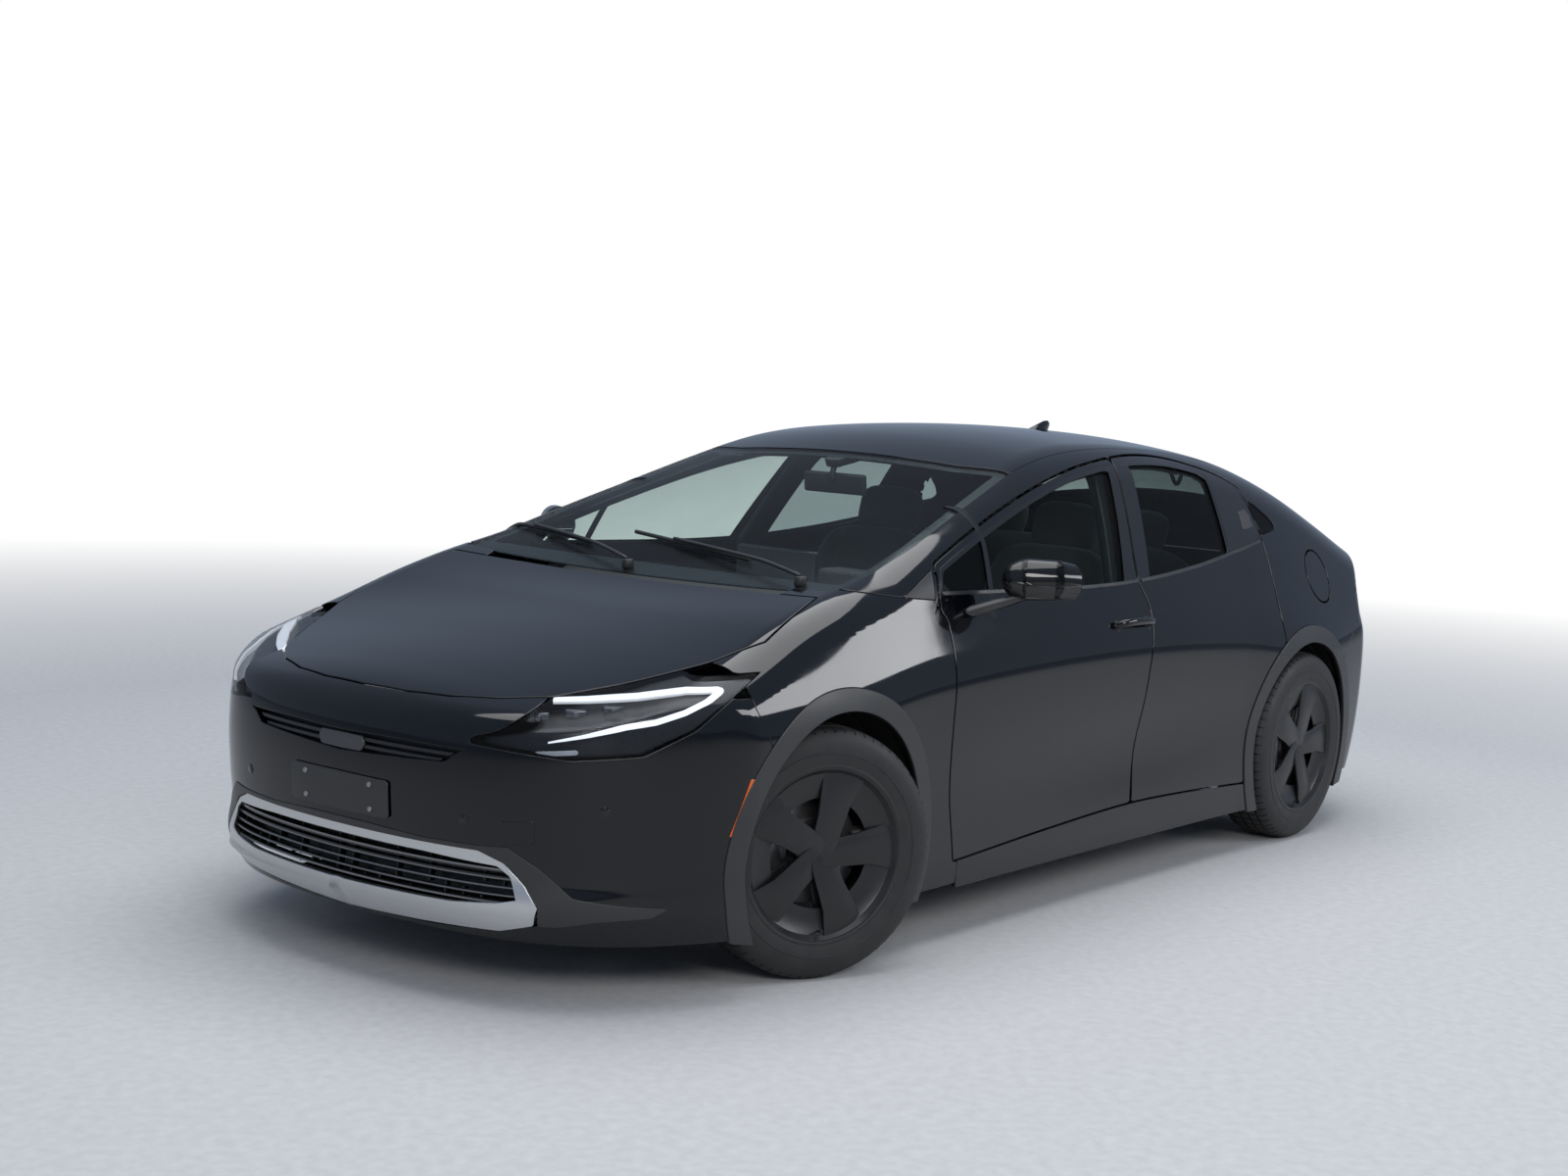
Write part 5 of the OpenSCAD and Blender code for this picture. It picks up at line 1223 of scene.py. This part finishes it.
# each door's hinge axis, the post that its necks stand on, and the heights of the pair
DOOR_HINGES = (((745, 848), (905, 715), (500, 720)), ((-355, 844), (-190, 772), (600, 740)))
NECK, NECK_TURN = 150, math.radians(66)
for left, side in ((True, "left"), (False, "right")):
    front_body, rear_body = ("door_fl", "door_rl") if left else ("door_fr", "door_rr")

    def side_piece(name, x, keep, body, material, depth=6.0, raised=1.2, step=9, roll=0.8,
                   low=10):
        """A thin piece on one side of the cabin, from a station to another."""
        panel(name + "_" + side, "side", (*x, A(low), A(66)), step, keep, depth, body, material, (),
              roll, raised, side)

    side_piece("front_window_seal", (-450, 880),
               without(seen_side(front_window, 9), seen_side(front_window, -3), seen_side(sail)),
               front_body, piano)
    side_piece("rear_window_seal", (-1245, -195),
               within(without(seen_side(rear_window, 9), seen_side(rear_window, -3)), seen_side(rear_door, -3)),
               rear_body, piano)
    side_piece("front_belt_line", (-330, 840),
               within(strip_along(belt_line, 822, -268, 30, 10, 0), seen_side(front_door, -4)),
               front_body, lamp_body, 6, 3, low=6)
    side_piece("rear_belt_line", (-1210, -270),
               within(strip_along(belt_line, -280, -1190, 30, 10, 0), seen_side(rear_door, -4)),
               rear_body, lamp_body, 6, 3, low=6)
    side_piece("centre_applique_front", (-440, -150),
               within(seen_side(front_door, -3),
                      seen_side([(-173, 964), (-330, 1312), (-450, 1330), (-260, 964)])),
               front_body, piano, 5, 1.4)
    side_piece("centre_applique_rear", (-480, -200),
               within(seen_side(rear_door, -3),
                      seen_side([(-220, 966), (-337, 966), (-470, 1296), (-470, 1318), (-360, 1330)])),
               rear_body, piano, 5, 1.4)
    side_piece("quarter_bar", (490, 620), seen_side(quarter_bar), front_body, piano, 8, 0.5)
    side_piece("corner_sail", (820, 1010), seen_side(sail, -1), "body", satin, 12, 0.6, roll=1.5)
    side_piece("rear_handle_panel", (-1200, -915), within(seen_side(rear_door, -3), without(
        seen_side([(-936, 1028), (-1150, 1062), (-1196, 1082), (-1192, 1180), (-1120, 1250), (-982, 1292)]),
        seen_side(rear_window, 9))), rear_body, piano, 5, 1.4)
    side_piece("rear_handle_pull", (-1200, -1050),
               seen_side([(-1085, 1100), (-1168, 1106), (-1172, 1150), (-1150, 1168), (-1100, 1160)]),
               rear_body, satin, 5, 4, step=6, roll=3)
    # pull handle on the front door
    bm = bmesh.new()
    at, n = on_side(-158, 840)
    ends = [on_side(-158 + dx, 840 + dz, out)[0] for dx, dz, out in
            ((92, 1, -4), (88, 1, 14), (76, 1, 27), (40, 1, 34),
             (-40, 0, 34), (-84, -1, 28), (-98, -1, 14), (-101, -1, -4))]
    bar = swept([tuple(p) for p in ends], 10, ring=5)
    for v in bar.verts:
        v.co.z = at.z + (v.co.z - at.z) * 1.25
    joined(bm, bar)
    handed(bm, left)
    finished("handle_bar_" + side, bm, front_body, piano)
    bm = bmesh.new()
    for dx, r in ((88, 15), (-97, 19)):
        p, n = on_side(-158 + dx, 840, -1)
        spot = Matrix.Translation(p) @ n.to_track_quat("Z", "Y").to_matrix().to_4x4()
        drum(bm, r, 6, spot @ Matrix.Diagonal((1, 1.15, 1, 1)), 2.5, 32)
    handed(bm, left)
    finished("handle_bases_" + side, bm, front_body, piano)

    # door trims, seen when a door is open
    for body, outline, x, name in ((front_body, front_door, (-440, 880), "front"),
                                   (rear_body, rear_door, (-1240, -195), "rear")):
        low = within(seen_side(outline, -34), lambda p: p[:, 2] - belt_line(p[:, 0]) + 34)
        panel(name + "_door_trim_" + side, "side", (*x, A(-36), A(40)), 13, low, 11, body,
              cabin, (), 4, -51, side)
        panel(name + "_door_insert_" + side, "side", (*x, A(-36), A(40)), 12,
              within(seen_side(outline, -80), lambda p: p[:, 2] - 860, lambda p: 640 - p[:, 2]),
              6, body, seat_cloth, (), 3, -59, side)

    # side of the cabin opening: sill and centre post
    panel("sill_inner_" + side, "side", (-960, 840, A(-38), A(-8)), 14,
          strip_along(sill_line, 830, -940, 24, -10, 78), 45, "body", paint, (), 4, -66, side)
    post = seen_side([(-200, 260), (-262, 500), (-262, 700), (-300, 885), (-275, 976), (-400, 1332),
                      (-302, 1332), (-165, 976), (-190, 885), (-150, 700), (-150, 500), (-110, 260)])
    panel("centre_post_" + side, "side", (-480, -60, A(-36), A(64)), 14, post, 34, "body",
          satin, (), 4, lambda p: -door_depth(p) - 6, side)
    panel("door_seal_" + side, "side", (-1240, 880, A(-37), A(66)), 12,
          within(without(either(seen_side(front_door, 12), seen_side(rear_door, 12)),
                         seen_side(front_door, 4), seen_side(rear_door, 4)),
                 lambda p: -(p[:, 2] - 300)),
          10, "body", seal_rubber, (), 2, -14, side)

    # hinge pins of the doors, and the goose necks that carry them
    pins, necks = bmesh.new(), bmesh.new()
    for (hinge_x, hinge_y), post_at, heights in DOOR_HINGES:
        for z in heights:
            drum(pins, 8, 27, turned(about=(hinge_x, hinge_y, z)), 1, 24)
            knee = (hinge_x + NECK * math.cos(NECK_TURN), hinge_y - NECK * math.sin(NECK_TURN), z)
            joined(necks, swept([(hinge_x, hinge_y, z), knee, (*post_at, z)], 7.5))
    for name, bm in (("door_hinge_pins_", pins), ("door_hinge_arms_", necks)):
        handed(bm, left)
        finished(name + side, bm, "body", coated)

# ---- Mirrors ----------------------------------------------------------------------------
MIRROR_TURN = -8  # degrees that the glass looks inwards
for left, side, body in ((True, "left", "door_fl"), (False, "right", "door_fr")):
    foot, _ = on_side(685, 925)

    def mirror_head():
        """The round-cornered housing, before it is cut for its glass."""
        bm = bmesh.new()
        for dx, dy, dz, sx, sy, sz in ((-84, 78, 92, 50, 36, 50), (-104, 100, 94, 58, 52, 60),
                                       (-206, 196, 90, 47, 36, 50), (-150, 168, 96, 52, 44, 56)):
            ball(bm, 1, (foot.x + dx, foot.y + dy, foot.z + dz), (sx, sy, sz), 32, 18)
        wrapped(bm)
        return bm

    face_at = Vector((foot.x - 206, foot.y + 128, foot.z + 90))
    back = Matrix.Rotation(math.radians(MIRROR_TURN), 3, "Z") @ Vector((-1, 0, 0))
    for name, up_side, material, slot in (
        ("mirror_cap_", 1, piano, "paint"), ("mirror_base_", -1, satin, "satin_trim")):
        bm = mirror_head()
        cut(bm, face_at, back)
        cut(bm, (foot.x, foot.y, foot.z + 84 + (0.6 if up_side > 0 else -0.6)), (0, 0, -up_side))
        bmesh.ops.recalc_face_normals(bm, faces=bm.faces)
        rim = [e for e in bm.edges if e.is_manifold and e.calc_face_angle() > 0.7]
        bmesh.ops.bevel(bm, geom=rim, offset=1.6, segments=2, profile=0.5, affect="EDGES", material=-1)
        handed(bm, left)
        finished(name + side, bm, body, material, ("mirror_" + side,) if up_side > 0 else ())
    bm = mirror_head()
    centre = sum((v.co for v in bm.verts), Vector()) / len(bm.verts)
    bmesh.ops.transform(bm, verts=bm.verts, matrix=Matrix.Translation(centre)
                        @ Matrix.Diagonal((0.995, 0.9, 0.86, 1)) @ Matrix.Translation(-centre))
    cut(bm, face_at + back * 1.2, back)
    cut(bm, face_at - back * 3, -back)
    handed(bm, left)
    finished("mirror_glass_" + side, bm, body, mirror_silver)
    bm = bmesh.new()
    ball(bm, 34, (foot.x, foot.y + 4, foot.z), (1.6, 0.45, 0.5), 28, 14)
    ball(bm, 34, (foot.x - 88, foot.y + 92, foot.z + 44), (1.4, 0.7, 0.28), 28, 14)
    wrapped(bm)
    cut(bm, (foot.x, foot.y - 3, foot.z), (0, -1, 0))
    handed(bm, left)
    finished("mirror_arm_" + side, bm, body, satin)

# ---- Lids of the two ports --------------------------------------------------------------
PORT_SPAN, PORT_RADIUS = (-1710, -1470, A(0), A(45)), 88
for side, body in (("left", "fuel_door"), ("right", "charge_door")):
    panel(body + "_lid", "side", (-1700, -1480, A(0), A(45)), 7, round_axle(PORT_RADIUS, *port_place),
          8, body, paint, (body,), 1.5, 0, side)
    panel(body + "_cup", "side", PORT_SPAN, 8, round_axle(95, *port_place), 3, "body", satin,
          (), 0.5, -46, side)
    panel(body + "_cup_wall", "side", PORT_SPAN, 5,
          without(round_axle(99.5, *port_place), round_axle(94.5, *port_place)),
          44, "body", satin, (), 0.5, -6, side)

# ---- Roof, screen and tail --------------------------------------------------------------
bm = bmesh.new()
for x, z, s in ((-905, 2, (58, 21, 6)), (-950, 24, (28, 8, 12)), (-962, 34, (9, 2.4, 4))):
    ball(bm, 1, (x, 0, on_top(x, 0)[0].z + z), s, 28, 14)
wrapped(bm)
finished("antenna_fin", bm, "body", paint)
panel("headliner", "top", (-1000, 250, -560, 560), 22, seen_top(roof_half, -22), 6, "body",
      cabin_pale, (), 2, lambda p: -roof_depth(p) - np.where(p[:, 0] < -976, 30, 2), "centre")
panel("screen_frit", "top", (170, 1230, -720, 720), 12,
      without(seen_top(screen_half, -2), within(seen_top(screen_half, -34), lambda p: p[:, 0] - 1130)),
      2, "body", lamp_body, (), 0.5, -8, "centre")
panel("mirror_sensor_cover", "top", (215, 330, -80, 80), 8,
      seen_top([(322, 0), (318, 26), (262, 55), (232, 62), (230, 0)]), 26,
      "body", cabin, (), 3, -9, "centre")
bm = bmesh.new()
p, _ = on_top(330, 0, -60)
joined(bm, swept([tuple(on_top(285, 0, -22)[0]), (p.x + 4, 0, p.z + 8), (p.x - 12, 0, p.z - 12)], 9))
block(bm, (-10, -120, -33), (12, 120, 33), 9, turned(y=8, about=(p.x - 26, 0, p.z - 22)), 4)
finished("inside_mirror", bm, "body", cabin)
bm = bmesh.new()
for start, bend, tip, reach in (((1165, 560), (1085, 330), (1010, -30), 330),
                                ((1178, -60), (1098, -290), (1010, -600), 300)):
    drum(bm, 17, 26, Matrix.Translation(on_top(*start, 6)[0]), 3, 24)
    a, b, c = (on_top(*q, h)[0] for q, h in ((start, 22), (bend, 26), (tip, 14)))
    joined(bm, swept([tuple(a), tuple((a + b) / 2 + Vector((0, 0, 3))), tuple(b), tuple(c)], 5.5, ring=3))
    line = [tuple(on_top(tip[0] + t * (bend[0] - tip[0]) * 0.75, tip[1] + t * reach, 6)[0])
                  for t in np.linspace(-0.55, 1, 9)]
    joined(bm, swept(line, 6, ring=3))
    line = [(x, y, z - 4) for x, y, z in line]
    joined(bm, swept(line, 2.5, ring=2))
finished("wipers", bm, "body", satin)
for name, out, arm in (
        ("hood_hinge_arms", 560, ((1335, 927.7), (1378, 838), (1280, 822), (1215, 828))),
        ("hatch_hinge_arms", 488, ((-1098, 1318.6), (-1072, 1200), (-975, 1325), (-952, 1330)))):
    bm = bmesh.new()
    for y in (out, -out):
        joined(bm, swept([(x, y, z) for x, z in arm], 7))
        drum(bm, 9, 27, turned(x=90, about=(arm[0][0], y, arm[0][1])), 1, 24)
    finished(name, bm, "body", coated)
tail_glow = lamp_glow("tail_glow", (0.55, 0.012, 0.01), 0.12)
panel("light_bar_strip", "hatch", (H(140), H(180), -700, 700), 8,
      within(seen_end([(0, 912), (560, 911), (560, 894), (0, 896)]),
             lambda p: p[:, 0] + 2000), 5, "hatch", tail_glow, (),
      1, -8, "centre")
panel("tail_lamp_strip", "tail", (-1217, 1217, 815, 950), 7,
      within(tail_lamp(-4), lambda p: np.abs(p[:, 2] - 893 - 0.05 * (p[:, 0] + 2100)) - 8),
      5, "body", tail_glow, (), 1, -8, "centre")
panel("rear_valance", "tail", (-1217, 1217, 200, 470), 12,
      within(seen_end([(0, 392), (420, 392), (560, 430), (700, 440), (700, 190), (0, 190)]),
             lambda p: 214 - p[:, 2], lambda p: p[:, 0] + 1900),
      8, "body", satin, (), 3, 4, "centre")
panel("rear_plate_recess", "tail", (-420, 420, 470, 690), 10,
      seen_end([(0, 650), (282, 648), (300, 500), (0, 498)]), 8,
      "body", satin, (), 4, 3, "centre")
panel("rear_reflectors", "tail", (-1217, 1217, 330, 440), 7,
      within(seen_end([(520, 402), (668, 414), (668, 396), (520, 384)]),
             lambda p: 100 - np.abs(p[:, 1])), 5, "body", red_glass, (),
      1.5, 7, "centre")
bm = bmesh.new()
for y, z in ((100, 620), (100, 530)):
    x = float(lift("tail", np.array([[math.atan2(y, 830) * 830, z]]))[0, 0])
    drum(bm, 7, 5, turned(y=90, about=(x - 5, y, z)), 1.2, 20)
both_hands(bm)
finished("rear_plate_screws", bm, "body", steel)

# ---- Wheel housings and floor ------------------------------------------------------------
# each housing reaches 8 degrees below the axle on both sides
HOUSING_TURN = 196
for x, inner, name in ((AXLE_FRONT, 560, "front"), (AXLE_REAR, 600, "rear")):
    bm = bmesh.new()
    verts = [
    bm.verts.new(
        (r, y, 0)) for r, y in (
            (384, 842), (386, inner), (200, inner - 3), (200, inner - 7), (390, inner - 6), (389, 842))]
    edges = [bm.edges.new(p) for p in zip(verts, verts[1:] + verts[:1])]
    bmesh.ops.spin(bm, geom=verts + edges, cent=(0, 0, 0), axis=(0, 1, 0),
                   angle=-math.radians(HOUSING_TURN), steps=56)
    bmesh.ops.holes_fill(bm, edges=[e for e in bm.edges if len(e.link_faces) == 1], sides=8)
    bmesh.ops.transform(bm, verts=bm.verts, matrix=turned(y=8, about=(x, 0, AXLE_HEIGHT)))
    bmesh.ops.recalc_face_normals(bm, faces=bm.faces)
    both_hands(bm)
    liner = finished(name + "_wheel_housings", bm, "body", seal_rubber)
    liner.data.set_sharp_from_angle(angle=0.6)
bm = bmesh.new()
for x0, x1, y0, y1 in ((60, 560, 150, 600), (-520, -330, 150, 590)):
    block(bm, (x0, y0, 229), (x1, y1, 236), 3)
both_hands(bm)
finished("floor_mats", bm, "body", carpet)

# ---- Seats ------------------------------------------------------------------------------


def pad(bm, lo, hi, matrix, crown=10, bolster=0.0, seams=(), power=4.5, cuts=22):
    """A padded form: crowned faces, pulled-in sides, and seams pressed into it."""
    before = len(bm.verts)
    made = bmesh.ops.create_cube(bm, size=2)["verts"]
    bmesh.ops.subdivide_edges(bm, edges=list({e for v in made for e in v.link_edges}), cuts=cuts,
                              use_grid_fill=True)
    made = list(bm.verts)[before:]
    size = [(b - a) / 2 for a, b in zip(lo, hi)]
    middle = [(a + b) / 2 for a, b in zip(lo, hi)]
    for v in made:
        p = v.co
        far = max(abs(c) for c in p)
        length = sum(abs(c) ** power for c in p) ** (1 / power)
        q = p * (far / length)
        puff = (1 - q.x ** 2) * (1 - q.y ** 2) if abs(p.z) >= far - 1e-6 else 0
        z = q.z * size[2] + math.copysign(crown * puff, q.z) if abs(p.z) >= far - 1e-6 else q.z * size[2]
        if q.z > 0 and bolster:
            z += bolster * max(0, abs(q.y) - 0.62) / 0.38 * (1 - abs(q.y) ** 8) * min(1, q.z * 1.4)
            z -= 6 * math.exp(-((abs(q.y) - 0.62) / 0.035) ** 2) * q.z
        for s in seams:
            if q.z > 0.5:
                z -= 5 * math.exp(-((q.x - s) / 0.035) ** 2) * (abs(q.y) < 0.66)
        v.co = (q.x * size[0] * (1 - 0.02 * q.z ** 2), q.y * size[1] * (1 - 0.03 * (1 - q.x ** 2)), z)
    bmesh.ops.transform(bm, verts=list(made), matrix=matrix @ Matrix.Translation(middle))


def seat(name, replaces_node, parts):
    """The padded pieces of a seat; the first stands for the whole node."""
    for k, (label, args) in enumerate(parts):
        bm = bmesh.new()
        for a in args:
            pad(bm, *a[:-1], **a[-1])
        piece = finished(name + "_" + label, bm, "body",
                         seat_cloth, (replaces_node,) if k == 0 else ())


def along_back(x, y, z, lean):
    """The place of a back rest drawn flat: its length up the back, its face forwards."""
    return turned(y=-lean, about=(x, y, z)) @ Matrix(((0, 0, 1, 0), (0, 1, 0, 0), (1, 0, 0, 0), (0, 0, 0, 1)))


cushions, backs, rests, supports = [], [], [], bmesh.new()
for sign in (1, -1):
    y = 365 * sign
    cushions.append(((-338, -248, 338), (178, 248, 470), turned(about=(0, y, 0)),
                     dict(crown=8, bolster=20, seams=(-0.25, 0.3))))
    lean = along_back(-300, y, 415, 22)
    backs.append(((4, -233, 4), (638, 233, 106), lean, dict(crown=7, bolster=16, seams=(-0.35, 0.1, 0.5))))
    rest = along_back(-560, y, 1000, 14)
    rests.append(((2, -128, 2), (168, 128, 86), rest, dict(crown=5, seams=(), power=3.4)))
    block(supports, (-338, y - 200, 229), (120, y + 200, 338), 12, None, 3)
    for dy in (-62, 62):
        joined(supports, swept([(-545, y + dy, 1006), (-530, y + dy, 960)], 6))
    for dy in (-222, 222):
        block(supports, (-335, y + dy - 12, 330), (60, y + dy + 12, 372), 9, None, 3)
seat("front_seat", "front_seats", (("cushions", cushions), ("backs", backs), ("head_rests", rests)))
finished("front_seat_bases", supports, "body", cabin)
bench = [((-953, -598, 347), (-507, 598, 492), Matrix(), dict(crown=6, seams=(-0.2, 0.35)))]
lean = along_back(-950, 0, 475, 24)
back_rest = [((4, -598, 4), (556, 598, 124), lean, dict(crown=7, seams=(-0.3, 0.25)))]
heads = [((524, y - 123, 28), (688, y + 123, 100), lean, dict(crown=5, seams=(), power=3.4))
          for y in (-295, 295)]
seat("rear_seat", "rear_seat", (("cushion", bench), ("back", back_rest), ("head_rests", heads)))

# ---- Dashboard --------------------------------------------------------------------------
bm = bmesh.new()
block(bm, (548, -636, 842), (700, 636, 925), 22, None, 4)
block(bm, (560, 230, 905), (668, 510, 990), 20, None, 4)
block(bm, (536, -600, 795), (600, 170, 838), 14, None, 4)
for y in (-590, -180, 180, 590):
    block(bm, (532, y - 48, 855), (560, y + 48, 892), 6, None, 3)
finished("dashboard_pad", bm, "body", cabin)
bm = bmesh.new()
for y in (-590, -180, 180, 590):
    for z in (862, 869, 876, 883):
        block(bm, (528, y - 42, z - 1.5), (540, y + 42, z + 1.5), 0.8)
block(bm, (553, 250, 925), (562, 490, 978), 4)
block(bm, (548, -155, 892), (566, 155, 1024), 7, None, 3)
finished("dashboard_screens", bm, "body", piano)
bm = bmesh.new()
block(bm, (-258, -106, 300), (560, 106, 512), 24, None, 4)
block(bm, (-250, -98, 500), (60, 98, 545), 18, None, 4)
finished("centre_console", bm, "body", cabin)
bm = bmesh.new()
block(bm, (90, -72, 508), (430, 72, 518), 4)
ball(bm, 27, (330, 0, 560), (1, 1, 1.05))
drum(bm, 12, 60, turned(about=(330, 0, 530)), 2, 24)
for y in (-34, 34):
    drum(bm, 33, 4, turned(about=(190, y, 520)), 1.4, 36)
finished("console_top", bm, "body", piano)
bm = bmesh.new()
grip_place = turned(y=115, about=(330, 370, 835))
drum(bm, 44, 14, grip_place @ turned(about=(0, 0, -6)), 5, 40)
for a in (0, 180, 270):
    block(bm, (40, -16, -3), (150, 16, 5), 3, grip_place @ turned(z=a + 90))
finished("steering_wheel_trim", bm, "steering_wheel", piano)

# ---- Floor, light and camera ---------------------------------------------------------
bm = bmesh.new()
bmesh.ops.create_circle(bm, cap_ends=True, segments=96, radius=40)
floor_mesh = bpy.data.meshes.new("studio_floor")
bm.to_mesh(floor_mesh)
floor = bpy.data.objects.new("studio_floor", floor_mesh)
bpy.context.scene.collection.objects.link(floor)
f = Finish("studio_floor", Roughness=0.75)
f.put("Base Color", f.blend(f.clamp(f.noise(30, 5), 0.3, 0.7), (0.47, 0.47, 0.47), (0.53, 0.53, 0.53)))
# far from the car the floor turns into the white background
way = f.node("ShaderNodeTexCoord", out="Object")
far = f.clamp(f.node("ShaderNodeVectorMath", {"operation": "LENGTH"}, {0: way}, 1), 4.2, 11.0)
seen = f.node("ShaderNodeLightPath", out="Is Camera Ray")
white = f.nodes.new("ShaderNodeEmission")
faded = f.nodes.new("ShaderNodeMixShader")
f.feed(faded.inputs[0], far * seen)
f.links.new(f.shader.outputs[0], faded.inputs[1])
f.links.new(white.outputs[0], faded.inputs[2])
f.links.new(faded.outputs[0], f.output.inputs["Surface"])
floor.data.materials.append(f.material)

world = bpy.data.worlds.new("studio")
bpy.context.scene.world = world
world.use_nodes = True
w = world.node_tree
back = w.nodes["Background"]
back.inputs["Color"].default_value = (0.62, 0.76, 1.0, 1)
back.inputs["Strength"].default_value = 0.42
bright = w.nodes.new("ShaderNodeBackground")
bright.inputs["Color"].default_value = (1, 1, 1, 1)
rays_seen = w.nodes.new("ShaderNodeLightPath")
either_ray = w.nodes.new("ShaderNodeMath")
either_ray.operation = "MAXIMUM"
w.links.new(rays_seen.outputs["Is Camera Ray"], either_ray.inputs[0])
w.links.new(rays_seen.outputs["Is Transmission Ray"], either_ray.inputs[1])
chosen = w.nodes.new("ShaderNodeMixShader")
w.links.new(either_ray.outputs[0], chosen.inputs[0])
w.links.new(back.outputs[0], chosen.inputs[1])
w.links.new(bright.outputs[0], chosen.inputs[2])
w.links.new(chosen.outputs[0], w.nodes["World Output"].inputs["Surface"])


def softbox(name, at, look, size, power, colour=(1, 1, 1)):
    """A wide lamp at a place, turned to a point."""
    data = bpy.data.lights.new(name, "AREA")
    data.shape, data.size, data.size_y = "RECTANGLE", size[0], size[1]
    data.energy, data.color = power, colour
    lamp = bpy.data.objects.new(name, data)
    bpy.context.scene.collection.objects.link(lamp)
    lamp.location = at
    lamp.rotation_euler = (Vector(look) - Vector(at)).to_track_quat("-Z", "Y").to_euler()


softbox("overhead", (0.0, 0, 7.5), (0.0, 0, 0), (9, 7), 560)
softbox("front_left", (7.5, 8.0, 5.6), (0.8, 0, 0.5), (6, 2.4), 420, (1, 0.98, 0.95))
softbox("left_side", (-5.5, 8.5, 4.4), (-0.5, 0, 0.6), (7, 2.0), 300, (0.97, 0.98, 1))

# the camera looks down on the left front corner
yaw, pitch, roll = math.radians(218.02), math.radians(5.72), math.radians(3.01)
ahead_axis = Vector((math.cos(yaw) * math.cos(pitch), math.sin(yaw) * math.cos(pitch), -math.sin(pitch)))
level = Vector((math.sin(yaw), -math.cos(yaw), 0))
upright = level.cross(ahead_axis)
right = math.cos(roll) * level + math.sin(roll) * upright
top = math.cos(roll) * upright - math.sin(roll) * level
lens = bpy.data.cameras.new("camera")
lens.sensor_width, lens.lens = 36.0, 51.1875
camera = bpy.data.objects.new("camera", lens)
bpy.context.scene.collection.objects.link(camera)
camera.matrix_world = Matrix(((right.x, top.x, -ahead_axis.x, 5.937), (right.y, top.y, -ahead_axis.y, 4.235),
                              (right.z, top.z, -ahead_axis.z, 1.586), (0, 0, 0, 1)))
bpy.context.scene.camera = camera
bpy.context.scene.view_settings.view_transform = "Standard"

for name, finish in (("floor_pan", coated), ("dashboard", cabin), ("engine_block", cast),
                     ("battery_block", case_metal), ("fuel_tank", tank_plastic), ("exhaust", pipe_metal),
                     ("suspension", coated), ("cowl", satin), ("knuckle_left", cast),
                     ("knuckle_right", cast), ("steering_wheel", hide)):
    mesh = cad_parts[name].data
    mesh.materials.clear()
    mesh.materials.append(finish)
